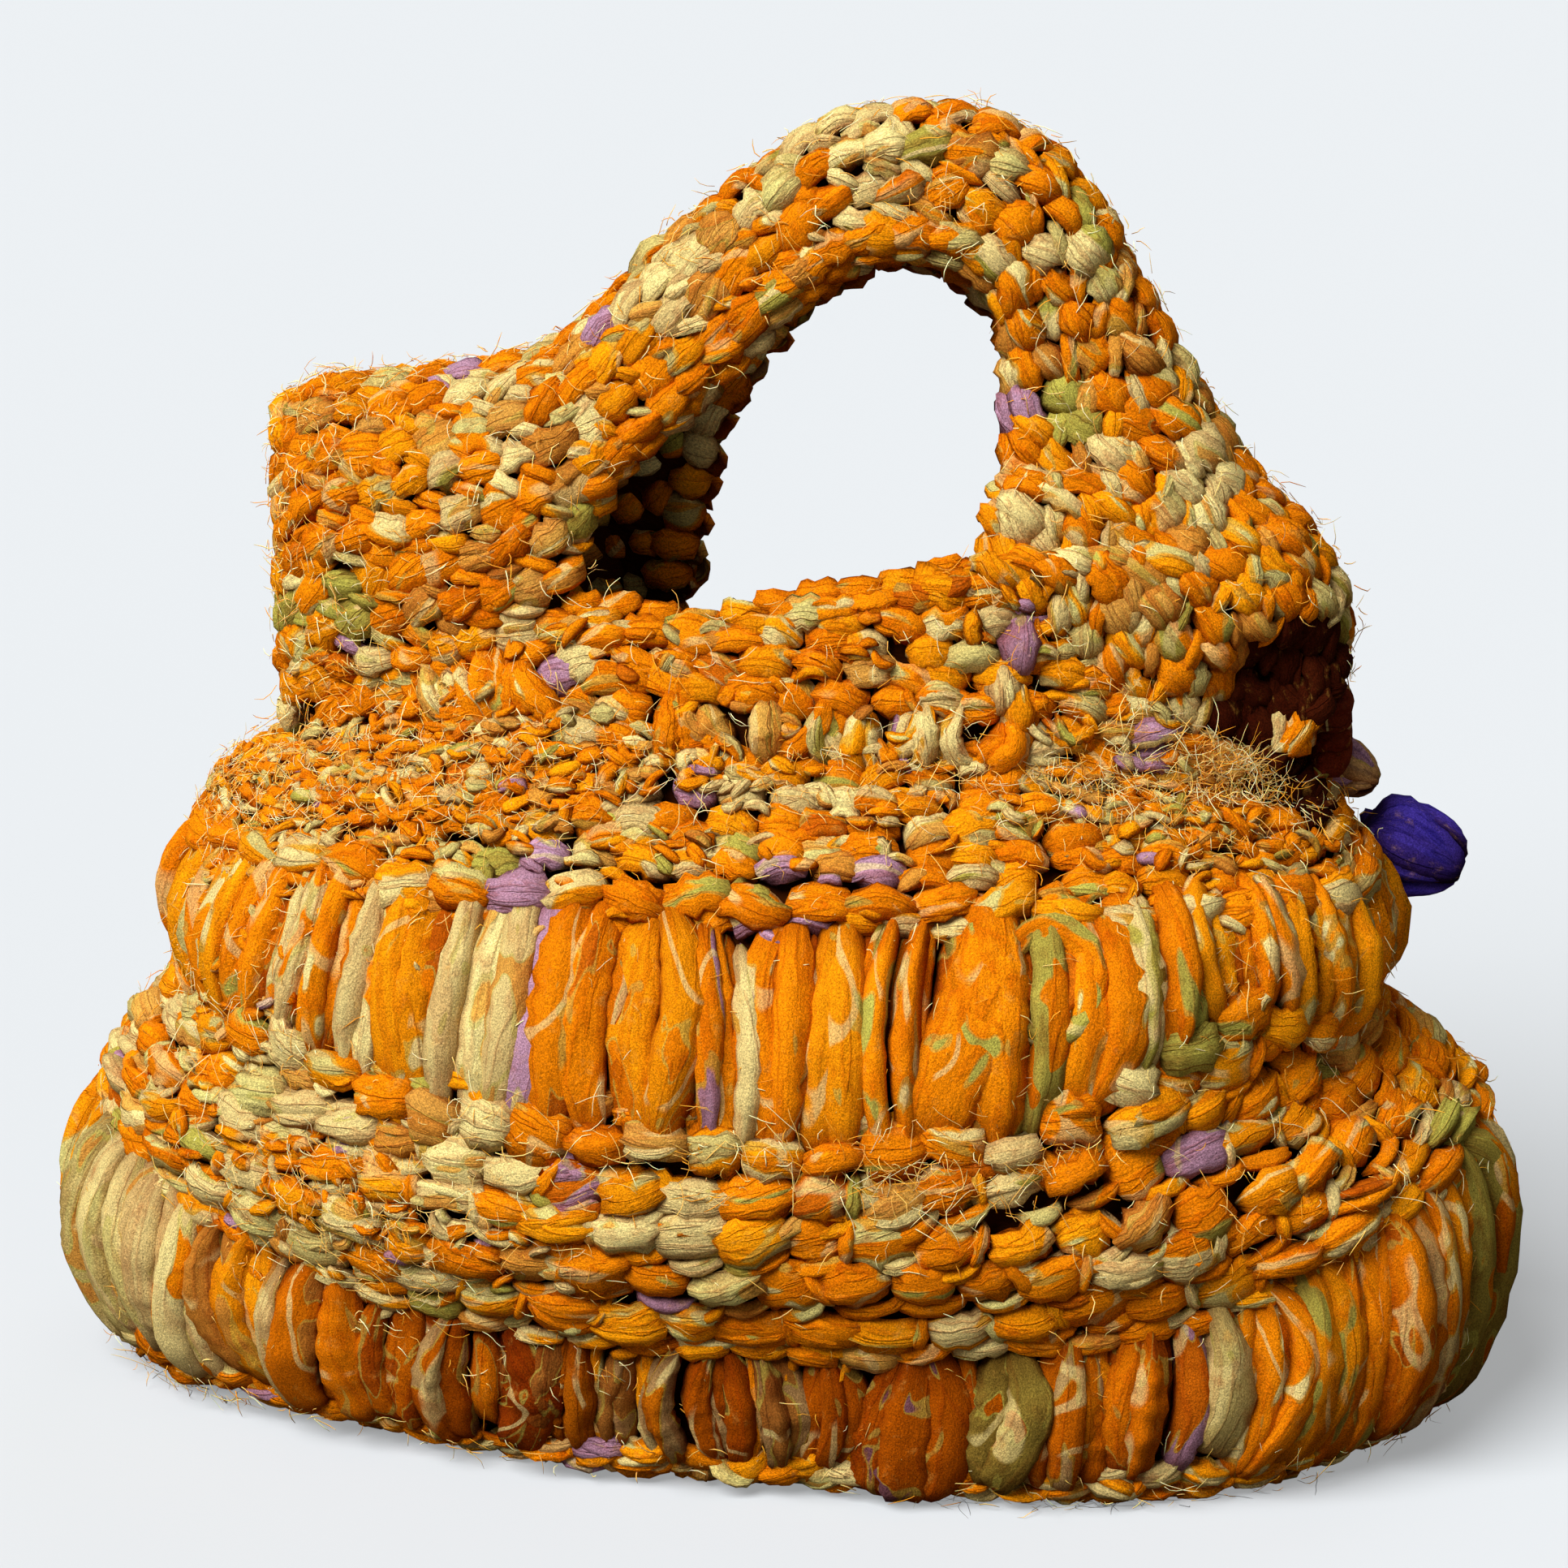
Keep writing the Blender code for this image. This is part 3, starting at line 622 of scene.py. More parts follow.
def gathered_loop(cloth, surface, head, foot, v_head, v_foot, width, kind, folds, bulge, bow=0.0,
                  lift=0.0, detail=1.0, dim=1.0, foot_dim=1.0):
    """One long loop: a sheet in a few soft folds that gather at its head and foot."""
    rings, sides = int(20 * detail), int(14 * detail)
    share = np.linspace(0, 1, rings)
    swell = np.sin(math.pi * share ** 0.9) ** 0.6
    gather = 0.30 + 0.70 * swell + 0.20 * share
    turns = head + (foot - head) * share + bow * np.sin(math.pi * share)
    places = v_head + (v_foot - v_head) * share
    piece = width / (0.5 + 0.5 * folds)
    # Painted shade along the loop: dim at its head, dim times foot_dim at its foot
    dims = dim * np.linspace(1.0, foot_dim, rings)[:, None]
    for fold, layer in enumerate(RANDOM.permutation(folds)):
        middle = (fold - (folds - 1) / 2) * piece * 0.56
        sway = vary(0.16) * piece * np.sin(math.pi * share * between(0.8, 1.8))
        shifted = turns + (middle * gather + sway) / surface.metric(turns, places)
        path, normals = surface.at(shifted, places)
        raised = 2.4 * MM * (layer - (folds - 1) / 2) + vary(1.0) * MM
        path = path + normals * (lift - SINK + (bulge + raised) * swell)[:, None]
        widths = piece / 2 * gather * (1 + vary(0.04, rings)) * between(0.88, 1.12)
        heights = 2.0 * MM + (2.2 * MM + 0.20 * piece) * swell * between(0.8, 1.25)
        cloth.strip(path, normals, widths, heights, kind, sides=sides,
                    pleats=RANDOM.integers(3, 6), pleat=between(0.05, 0.13),
                    drift=vary(1.5), dim=dims)


def waver(u, phase):
    """Slow unevenness of a row at a turn, about -1 to 1."""
    waves = ((0.5, 3, 1.0), (0.35, 7, 2.1), (0.25, 13, 1.0))
    return sum(size * math.sin(times * u + shift * phase) for size, times, shift in waves)


def body_rows(cloth, body, rows):
    """Rows of puffed stitches round the body, each with a thin crescent below it."""
    for index, (place, share, pitch, height, tilt, lift) in enumerate(rows):
        pitch, lift = pitch * MM, lift * MM
        low = place < 3
        uneven = 2.2 if low else 1.0
        for u in body.spaced(place, pitch, 0.5 * (index % 2)):
            if place > foot_place(math.degrees(u) % 360) - 0.33:
                continue
            if low and chance(0.12):
                continue
            metric = body.metric(u, place)
            tall = np.clip(share * body.metric(u, place, across=True), 5.0 * MM, 12.5 * MM)
            grow = RANDOM.normal(1, 0.14 * uneven, 4).clip(0.6, 1.6)
            lean = math.radians(tilt + vary(7 * uneven))
            middle = u + vary(0.9) * MM / metric
            wavy = place + share * (0.20 * waver(u, place * 5) + vary(0.08))
            bean(cloth, body, middle, wavy, pitch * 1.18 * grow[0], tall * 1.10 * grow[1],
                 height * MM * grow[2], PLAIN_CLOTH, tilt=lean, bend=vary(0.6) * MM, lift=lift,
                 blunt=0.36)
            half = 0.5 * pitch / metric
            if chance(0.5):
                bean(cloth, body, middle + half, wavy, tall * 1.15, 5.0 * MM, 7.0 * MM, PLAIN_CLOTH,
                     tilt=RANDOM.choice((-1, 1)) * between(1.0, 1.5), lift=lift + 0.4 * MM)
            bean(cloth, body, middle + 0.5 * half * RANDOM.normal(0.6, 0.3), wavy - 0.52 * share,
                 pitch * 1.05 * grow[3], 5.2 * MM, 5.5 * MM, CRESCENT_CLOTH,
                 tilt=lean + vary(0.08), bend=-2.0 * MM, lift=lift + 0.6 * MM)


# Place of the upper loops' feet, and where they climb over the rows below: turn, spread, rise
FOOT_LEVEL = 6.08
FOOT_RISES = [(322, 17, 0.95), (222, 10, 0.30)]


def foot_place(turn):
    """Place of the upper loops' feet at a turn in degrees."""
    rise = sum(share * math.exp(-((turn - middle) / spread) ** 2) for middle, spread, share in FOOT_RISES)
    return FOOT_LEVEL + rise


# Spread of the loops' bend to a side, in degrees
LOOP_BOW = 0.8

# Long loops of the upper band that show in front
# turn at the head, turn at the foot, place of the head, width in mm, folds, kind
FRONT_LOOPS = [
    (206, 204, 8.15, 13, 2, (ORANGE, CREAM, 0.25)),
    (212, 209, 8.20, 12, 2, (BRIGHT_ORANGE, CREAM, 0.35)),
    (218, 215, 8.20, 14, 2, (ORANGE, LEAF, 0.15)),
    (224, 221, 8.15, 12, 2, (CREAM, ORANGE, 0.35)),
    (229, 227, 8.15, 14, 3, (ORANGE, CREAM, 0.12)),
    (234, 234, 8.10, 13, 2, (CREAM, ORANGE, 0.30)),
    (239, 240, 8.10, 15, 2, (BRIGHT_ORANGE, CREAM, 0.06)),
    (245, 244, 8.10, 10, 1, (CREAM, PALE, 0.10)),
    (249.4, 248.5, 8.10, 17, 2, (CREAM, TAN, 0.42)),
    (252.9, 252.2, 8.05, 10, 1, (MAUVE, CREAM, 0.10)),
    (256, 254.5, 8.00, 13, 1, (ORANGE, RUST, 0.12)),
    (259, 259, 7.95, 13, 1, (ORANGE, RUST, 0.22)),
    (263.5, 264.5, 7.95, 21, 2, (BRIGHT_ORANGE, ORANGE, 0.20)),
    (267.5, 269.5, 7.80, 11, 2, (ORANGE, MAUVE, 0.30)),
    (270, 270.5, 7.60, 7, 1, (CREAM, MAUVE, 0.15)),
    (273.5, 273, 7.85, 17, 2, (ORANGE, CREAM, 0.14)),
    (278, 277.5, 7.85, 18, 2, (BRIGHT_ORANGE, LEAF, 0.16)),
    (282.5, 282.5, 7.90, 11, 2, (ORANGE, LEAF, 0.30)),
    (286, 286, 7.95, 9, 2, (ORANGE, CREAM, 0.20)),
    (291, 291, 8.15, 30, 2, (ORANGE, LEAF, 0.12)),
    (298, 297, 8.10, 14, 2, (LEAF, ORANGE, 0.35)),
    (302.5, 302.5, 8.05, 21, 2, (ORANGE, CREAM, 0.10)),
    (307.5, 308, 8.20, 13, 2, (CREAM, LEAF, 0.40)),
    (312, 313, 8.30, 14, 2, (ORANGE, LEAF, 0.30)),
    (317, 319, 8.35, 13, 2, (BRIGHT_ORANGE, CREAM, 0.38)),
    (322, 324, 8.40, 13, 2, (ORANGE, CREAM, 0.30)),
    (327, 330, 8.40, 13, 2, (ORANGE, CREAM, 0.15)),
    (332, 335, 8.35, 13, 2, (BRIGHT_ORANGE, PALE, 0.25)),
    (338, 340, 8.30, 13, 2, (ORANGE, CREAM, 0.20)),
]
# Long loops of the lower band at the front's two corners, with the place of the foot
# turn at the head, turn at the foot, place of the head, place of the foot, width, folds, kind
CORNER_LOOPS = [
    (199, 200, 4.1, 2.2, 20, 2, (PALE, TAN, 0.30)),
    (205, 206, 4.1, 2.3, 24, 3, (CREAM, PALE, 0.35)),
    (212, 213, 4.1, 2.3, 22, 3, (CREAM, TAN, 0.25)),
    (218, 219, 4.1, 2.3, 16, 2, (CREAM, ORANGE, 0.20)),
    (223, 225, 4.1, 2.3, 16, 2, (OCHRE, CREAM, 0.15)),
    (227, 229, 4.1, 2.2, 16, 2, (BRIGHT_ORANGE, OCHRE, 0.20)),
    (231, 232, 4.0, 2.1, 8, 1, (CREAM, TAN, 0.15)),
    (236, 237, 4.1, 2.1, 27, 3, (ORANGE, OCHRE, 0.20)),
    (242, 243, 4.0, 2.2, 9, 1, (RUST, ORANGE, 0.40)),
    (245, 245, 4.0, 2.1, 10, 1, (ORANGE, RUST, 0.40)),
    (249, 249, 4.0, 2.2, 13, 2, (ORANGE, CREAM, 0.30)),
    (254, 254, 4.05, 2.0, 13, 1, (RUST, ORANGE, 0.30)),
    (282, 281, 4.1, 1.3, 25, 3, (ORANGE, MAUVE, 0.16)),
    (289, 288, 4.0, 2.1, 18, 2, (LEAF, ORANGE, 0.30)),
    (294.5, 294, 4.1, 2.1, 20, 3, (ORANGE, CREAM, 0.22)),
    (301, 300, 4.1, 2.2, 14, 2, (ORANGE, RUST, 0.40)),
    (304.5, 304, 4.1, 2.2, 9, 1, (RUST, MAUVE, 0.40)),
    (308, 307, 4.15, 2.3, 13, 1, (PALE, CREAM, 0.30)),
    (313, 312, 4.2, 2.2, 19, 3, (ORANGE, CREAM, 0.10)),
    (319, 318, 4.3, 2.3, 18, 2, (BRIGHT_ORANGE, LEAF, 0.22)),
    (325, 324, 4.3, 2.2, 18, 2, (ORANGE, LEAF, 0.20)),
    (331, 329, 4.4, 2.2, 24, 3, (ORANGE, RUST, 0.20)),
    (337, 336, 4.4, 2.2, 13, 2, (ORANGE, CREAM, 0.30)),
    (342, 342, 4.4, 2.1, 12, 2, (BRIGHT_ORANGE, CREAM, 0.30)),
    (348, 350, 4.5, 2.0, 24, 2, (LEAF, BRIGHT_ORANGE, 0.30)),
    (355, 358, 4.5, 2.0, 15, 2, (ORANGE, CREAM, 0.40)),
]


def fill_loops(cloth, body, rows):
    """Thin loops behind the gaps between placed ones: turns and places of the head and foot."""
    for (head, foot, v_head, v_foot), (next_head, next_foot, *_) in zip(rows, rows[1:]):
        if next_head - head < 12:
            # Dimmed as painted shade in the gaps behind their neighbours
            gathered_loop(cloth, body, math.radians((head + next_head) / 2),
                          math.radians((foot + next_foot) / 2), v_head, v_foot, 10 * MM,
                          (RUST, ORANGE, 0.35), 1, 1.5 * MM, lift=-1.0 * MM, detail=0.7, dim=0.75)


def front_loops(cloth, body):
    """The front's own long loops, each at its place."""
    fill_loops(cloth, body, [(head, foot, v_head, foot_place(foot))
                             for head, foot, v_head, *_ in FRONT_LOOPS])
    for head, foot, v_head, width, folds, kind in FRONT_LOOPS:
        bow = math.radians(vary(LOOP_BOW))
        gathered_loop(cloth, body, math.radians(head), math.radians(foot), v_head + 0.1,
                      foot_place(foot) - 0.05, width * 1.10 * MM, kind, folds, 3.4 * MM, bow,
                      lift=0.6 * MM)


# A curled loop: radius, start and end of its arc in degrees, width and height in mm, lift, kind
CURLS = [
    (12.5, 150, -125, 10, 9, 6.0, (ORANGE, LEAF, 0.55)),
    (5.5, 120, -170, 9, 9, 5.0, (RUST, ORANGE, 0.30)),
]


def curled_loop(cloth, body, turn, place):
    """A loop that has twisted into a curl, open to the left."""
    for radius, start, end, width, height, lift, kind in CURLS:
        angles = np.radians(np.linspace(start, end, 18))
        path, normals = body.walk(math.radians(turn), place, radius * MM * np.cos(angles),
                                  1.25 * radius * MM * np.sin(angles))
        swell = 0.35 + 0.65 * np.sin(np.linspace(0.1, math.pi - 0.1, 18)) ** 0.6
        cloth.strip(path + normals * (lift * MM - SINK), normals, width / 2 * MM * swell,
                    height / 2 * MM * swell, kind, sides=14, pleats=3, pleat=0.14, drift=2.0)


def belly_shade(turn):
    """Painted shade under the belly's overhang: how much darker the lower loops are there, at a turn in
    degrees.
    """
    return 1 - 0.58 * math.exp(-((turn - 268) / 30) ** 4)


def corner_loops(cloth, body):
    """The lower band's own loops at the front's corners."""
    fill_loops(cloth, body, [row[:4] for row in CORNER_LOOPS])
    for head, foot, v_head, v_foot, width, folds, kind in CORNER_LOOPS:
        bow = math.radians(vary(LOOP_BOW))
        # Painted shade: darker under the belly, and darker towards the feet, most at the right corner
        gathered_loop(cloth, body, math.radians(head), math.radians(foot), v_head,
                      v_foot - between(0.0, 0.7), width * 1.15 * MM, kind, folds, 4.2 * MM, bow,
                      lift=1.4 * MM, dim=belly_shade(head),
                      foot_dim=np.interp(head, (318, 342), (0.85, 0.30)))


def loops_band(cloth, body, v_low, v_high, pitch, width, bulge, skips):
    """A band of long loops round the body, with thinner ones tucked in between."""
    middle = 0.5 * (v_low + v_high)
    for u in body.spaced(middle, pitch * MM, 0.3):
        turn = math.degrees(u) % 360
        if any(low < turn < high for low, high in skips):
            continue
        point, outward = body.at(u, middle)
        detail = 1.0 if outward[1] < 0.3 else 0.6
        step = pitch * MM / body.metric(u, middle)
        lean = vary(0.14) * step
        bow = vary(0.12) * step
        wide = width * MM * between(0.70, 1.25)
        place = u + vary(0.08) * step
        gathered_loop(cloth, body, place - lean, place + lean, v_high, v_low, wide,
                      pick_kind(PLAIN_CLOTH, point), 1 + int(wide > 10 * MM) + int(wide > 17 * MM),
                      bulge * MM * between(0.7, 1.25), bow, detail=detail,
                      dim=belly_shade(turn) if v_low < 4 else 1.0)
        aside = place + 0.5 * step
        gathered_loop(cloth, body, aside, aside - lean, v_high, v_low,
                      width * MM * between(0.42, 0.58), pick_kind(CRESCENT_CLOTH, point), 1,
                      bulge * MM * between(0.3, 0.7), -bow, detail=0.7 * detail)


# Rows of wraps: place, pitch, width, height, lift, share of the climb of the loops' feet, left out
WRAP_ROWS = [
    (2.05, 15.0, 8.0, 7.0, 2.4, 0, 0.35),
    (4.06, 16.0, 7.5, 7.0, 3.0, 0, 0.0),
    (6.08, 17.0, 12.5, 9.0, 3.6, 1, 0.0),
    (8.08, 17.5, 12.0, 10.0, 3.4, 0, 0.0),
    (5.72, 15.0, 10.0, 8.0, 1.2, 1, 0.0),
    (6.35, 13.0, 9.0, 8.0, 0.4, 1, 0.0),
    (7.92, 14.0, 9.0, 9.0, 0.4, 0, 0.0),
]


def wraps(cloth, body):
    """Rows of short wraps that gather the ends of the long loops."""
    for place, pitch, width, height, lift, climb, left_out in WRAP_ROWS:
        for u in body.spaced(place, pitch * MM, 0.3):
            if chance(left_out):
                continue
            risen = place + climb * (foot_place(math.degrees(u) % 360) - FOOT_LEVEL)
            kind = pick_kind(PLAIN_CLOTH, body.at(u, risen)[0])
            if kind[0] in (ORANGE, BRIGHT_ORANGE) and chance(0.3):
                kind = STRIPED
            grow = between(0.8, 1.3)
            bean(cloth, body, u, risen + vary(0.06), pitch * MM * between(0.98, 1.25),
                 width * MM * grow, height * MM, kind, tilt=vary(0.2), bend=vary(0.8) * MM,
                 lift=lift * MM, blunt=0.3)


class Shading:
    """The nodes of a material or of the world."""

    def __init__(self, owner):
        owner.use_nodes = True
        self.tree = owner.node_tree

    def feed(self, node, inputs):
        """Links or sets inputs, given by name or number as sockets, numbers, vectors or colours."""
        for key, value in inputs.items():
            socket = node.inputs[key]
            if isinstance(value, bpy.types.NodeSocket):
                self.tree.links.new(value, socket)
            else:
                socket.default_value = (*value, 1.0) if socket.type == "RGBA" else value

    def add(self, kind, output, inputs, **settings):
        """Adds a node and returns one of its outputs."""
        node = self.tree.nodes.new("ShaderNode" + kind)
        for name, value in settings.items():
            setattr(node, name, value)
        self.feed(node, inputs)
        return node.outputs[output]

    def calc(self, operation, a, b=0.0):
        return self.add("Math", 0, {0: a, 1: b}, operation=operation)

    def noise(self, place, scale, detail=2.0, roughness=0.5, distortion=0.0, stretch=(1.0, 1.0, 1.0)):
        vector = self.add("VectorMath", 0, {0: place, 1: stretch}, operation="MULTIPLY")
        return self.add("TexNoise", "Fac", {"Vector": vector, "Scale": scale, "Detail": detail,
                                            "Roughness": roughness, "Distortion": distortion})

    def mix(self, factor, a, b, blend="MIX"):
        return self.add("Mix", 2, {"Factor": factor, 6: a, 7: b}, data_type="RGBA", blend_type=blend)

    def step(self, value, low, high):
        return self.add("MapRange", "Result", {"Value": value, "From Min": low, "From Max": high},
                        interpolation_type="SMOOTHSTEP")

    def bump(self, shader, height, distance):
        """Relief of a height, at most this deep."""
        normal = self.add("Bump", "Normal", {"Strength": 0.9, "Distance": distance, "Height": height})
        self.feed(shader, {"Normal": normal})

    def show_camera(self, seen, hidden, output):
        """Shows one shader to the camera, and the other to light that bounces."""
        ray = self.add("LightPath", "Is Camera Ray", {})
        mixed = self.add("MixShader", "Shader", {"Fac": ray, 1: hidden, 2: seen})
        self.feed(self.tree.nodes[output], {"Surface": mixed})


def new_material(name, roughness, specular):
    """A material with its nodes and its Principled shader."""
    material = bpy.data.materials.new(name)
    nodes = Shading(material)
    shader = nodes.tree.nodes["Principled BSDF"]
    nodes.feed(shader, {"Roughness": roughness, "Specular IOR Level": specular})
    return material, nodes, shader


def cloth_material(name, fold_scale, fold_depth, soil_and_fold_shade):
    """Printed crepe cotton: ground and print colours, faded specks, fine crepe and creases."""
    material, nodes, shader = new_material(name, 0.95, 0.02)
    calc, step = nodes.calc, nodes.step
    cloth = nodes.add("Attribute", "Vector", {}, attribute_name="cloth")
    ground = nodes.add("Attribute", "Color", {}, attribute_name="ground")
    motif = nodes.add("Attribute", "Color", {}, attribute_name="motif")
    amount = motif.node.outputs["Alpha"]

    def tinted(colour, mask, share, other, blend="MIX"):
        return nodes.mix(calc("MULTIPLY", mask, share), colour, other, blend)

    # Patches of the print, with a thin leaf green edge
    print_noise = nodes.noise(cloth, 58.0, 1.0, 0.35, 0.8, (0.8, 1.7, 1.0))
    edge = calc("SUBTRACT", 0.70, calc("MULTIPLY", amount, 0.38))
    outer = calc("SUBTRACT", edge, 0.03)
    print_mask = step(print_noise, edge, calc("ADD", edge, 0.02))
    rim = step(print_noise, outer, calc("ADD", outer, 0.015))
    colour = nodes.mix(print_mask, ground, motif)
    colour = tinted(colour, calc("SUBTRACT", rim, print_mask), 0.5, LEAF)
    # Curved cream lines of the print
    lines = nodes.noise(cloth, 30.0, 0.0, 0.4, 0.5, (0.9, 1.3, 1.0))
    off_line = calc("ABSOLUTE", calc("SUBTRACT", lines, 0.46))
    line = calc("SUBTRACT", 1.0, step(off_line, 0.020, 0.034))
    line = calc("MULTIPLY", line, step(nodes.noise(cloth, 32.0), 0.50, 0.54))
    line = calc("MULTIPLY", line, calc("GREATER_THAN", amount, 0.0))
    colour = tinted(colour, line, 0.55, CREAM)
    # Faded specks, soil, and painted shade in the creases of fine folds
    colour = tinted(colour, step(nodes.noise(cloth, 150.0, 5.0, 0.72), 0.56, 0.80), 0.55, TAN)
    colour = tinted(colour, step(nodes.noise(cloth, 90.0, 4.0, 0.65), 0.50, 0.78), 0.5, soil_and_fold_shade, "MULTIPLY")
    folds = nodes.noise(cloth, fold_scale, 2.0, 0.5, 0.8, (0.20, 1.0, 1.0))
    fold_line = step(calc("ABSOLUTE", calc("SUBTRACT", folds, 0.5)), 0.0, 0.05)
    colour = tinted(colour, calc("SUBTRACT", 1.0, fold_line), 0.5 * fold_depth, soil_and_fold_shade, "MULTIPLY")
    # Grain of the weave
    value = nodes.add("MapRange", "Result", {"Value": nodes.noise(cloth, 2100.0, 2.0, 0.8),
                                             "From Min": 0.36, "From Max": 0.66,
                                             "To Min": 0.58, "To Max": 1.40})
    tone = nodes.add("HueSaturation", "Color", {"Value": value, "Color": colour})
    nodes.feed(shader, {"Base Color": tone})
    creases = nodes.noise(cloth, 430.0, 3.0, 0.6, 0.0, (0.20, 1.0, 1.0))
    crepe = nodes.noise(cloth, 1300.0, 4.0, 0.75)
    puckers = nodes.noise(cloth, 170.0, 1.0, 0.5, 0.6, (0.5, 1.0, 1.0))
    height = 0.0
    for relief, share in ((creases, 0.8), (crepe, 0.60), (puckers, 0.7), (fold_line, 0.5 * fold_depth)):
        height = calc("ADD", height, calc("MULTIPLY", relief, share))
    nodes.bump(shader, height, 1.3 * MM)
    return material


def thread_material(name):
    """Frayed cotton thread, lighter than the cloth it comes from."""
    material, nodes, shader = new_material(name, 1.0, 0.0)
    colour = nodes.add("Attribute", "Color", {}, attribute_name="ground")
    nodes.feed(shader, {"Base Color": colour, "Subsurface Weight": 0.4, "Subsurface Scale": 0.5 * MM})
    return material


def core_material(name):
    """The knitted ground behind the stitches: painted deep orange shade, with rows of soft relief."""
    material, nodes, shader = new_material(name, 0.95, 0.02)
    place = nodes.add("TexCoord", "Object", {})
    patches = nodes.noise(place, 60.0, 4.0, 0.6)
    nodes.feed(shader, {"Base Color": nodes.mix(patches, CORE_COLOUR, CORE_SHADE)})
    nodes.bump(shader, nodes.noise(place, 95.0, 3.0, 0.65, 0.0, (1.0, 1.0, 2.2)), 2.5 * MM)
    return material


def add_wall(name, outer, inner, closed, material, slot, replaced):
    """A wall between two grids of points. A closed one has a floor, an open one has edges all round."""
    rows, columns = outer.shape[:2]
    spans = rows if closed else rows - 1
    top = columns - 1
    faces = []

    def face(*corners):
        faces.append([side * rows * columns + i % rows * columns + j for i, j, side in corners])

    for i in range(spans):
        for j in range(top):
            face((i, j, 0), (i + 1, j, 0), (i + 1, j + 1, 0), (i, j + 1, 0))
            face((i, j, 1), (i, j + 1, 1), (i + 1, j + 1, 1), (i + 1, j, 1))
    for i in range(spans):
        face((i, top, 0), (i + 1, top, 0), (i + 1, top, 1), (i, top, 1))
        if not closed:
            face((i, 0, 0), (i, 0, 1), (i + 1, 0, 1), (i + 1, 0, 0))
    if closed:
        face(*((i, 0, 0) for i in reversed(range(rows))))
        face(*((i, 0, 1) for i in range(rows)))
    else:
        for i, order in ((0, 1), (rows - 1, -1)):
            for j in range(top):
                face(*[(i, j, 0), (i, j + 1, 0), (i, j + 1, 1), (i, j, 1)][::order])
    points = np.concatenate([outer.reshape(-1, 3), inner.reshape(-1, 3)])
    add_piece(name, points, faces, material, slot, replaced)


def make_cores(body, band):
    """The knitted walls that show as shade between the stitches."""
    places = np.concatenate([np.linspace(0, 2, 9), np.linspace(2.2, RIM, 60)])
    points, normals = body.at(*np.meshgrid(body.us[:-1:3], places, indexing="ij"))
    outer, inner = points - normals * 4.6 * MM, points - normals * WALL
    outer[..., 2] = np.maximum(outer[..., 2], 1.2 * MM)
    inner[..., 2] = np.maximum(inner[..., 2], WALL)
    add_wall("body_wall", outer, inner, True, core_material("body_ground_cloth"), "body_knit", "body")

    stations = np.linspace(0, LAST_STATION, 161)[:, None]
    front, back = band.end(stations, FRONT), band.end(stations, BACK)
    distances = -front + (front + back) * np.linspace(0, 1, 45)
    points, normals = band.at(stations, distances)
    add_wall("band_wall", points - normals * 4.0 * MM, points - normals * (WALL - 1.0 * MM), False,
             core_material("band_ground_cloth"), "band_knit", "handle_band")


# Rows of the body below and between the bands of loops
# place, share of a section's step, pitch, height, tilt, lift
BASE_ROWS = [
    (0.60, 0.60, 14.0, 6.5, 0, 0.6),
    (1.25, 0.60, 14.0, 7.0, 4, 1.2),
    (1.80, 0.35, 14.0, 7.0, 6, 1.8),
]
MIDDLE_ROWS = [
    (4.38, 0.38, 19.5, 9.5, 2, 2.4),
    (4.82, 0.40, 19.0, 9.5, 8, 2.8),
    (5.27, 0.40, 18.5, 9.5, 12, 2.8),
    (5.71, 0.42, 18.0, 9.0, 12, 3.0),
    (6.15, 0.42, 18.0, 9.0, 14, 3.4),
    (6.58, 0.42, 18.0, 9.0, 14, 3.4),
]
YOKE_START = 8.22
YOKE_ROW_PITCH = 7.7 * MM
YOKE_STITCH = 13.8 * MM


def make_body_stitches(body, material, sheets):
    """The rows, the two bands of long loops and the wraps between them."""
    rows = Cloth("body_rows")
    body_rows(rows, body, BASE_ROWS)
    body_rows(rows, body, MIDDLE_ROWS)
    rows.finish(material, "body_knit")

    upper = Cloth("upper_loops")
    front_loops(upper, body)
    curled_loop(upper, body, 298, 7.45)
    loops_band(upper, body, 6.1, 8.15, 15.5, 15.0, 3.4, [(202, 343)])
    upper.finish(sheets, "body_knit")
    lower = Cloth("lower_loops")
    corner_loops(lower, body)
    loops_band(lower, body, 2.0, 4.05, 15.0, 16.0, 3.6, [(195, 252), (277, 292), (298, 361)])
    lower.finish(sheets, "body_knit")

    gathers = Cloth("loop_wraps")
    wraps(gathers, body)
    gathers.finish(material, "body_knit")


# Short loops in the yoke: turn range, distance of their foot and head from the yoke's start in mm
SHORT_LOOPS = [(262, 293, 41, 56), (233, 250, 47, 66)]

# The seam where the right shoulder meets the flap: turn, place, length and width in mm, kind
SEAM = [
    (294.5, 9.95, 17, 8, (ORANGE, CREAM, 0.15)),
    (294, 10.35, 17, 9, (BRIGHT_ORANGE, CREAM, 0.20)),
    (293, 10.75, 16, 10, (MAUVE, CREAM, 0.05)),
    (292, 10.45, 12, 9, (CREAM, TAN, 0.10)),
]


def in_short_loops(u, distance):
    """Whether a place of the yoke lies under its short loops."""
    turn = math.degrees(u) % 360
    return any(low < turn < high and foot * MM < distance < head * MM
               for low, high, foot, head in SHORT_LOOPS)


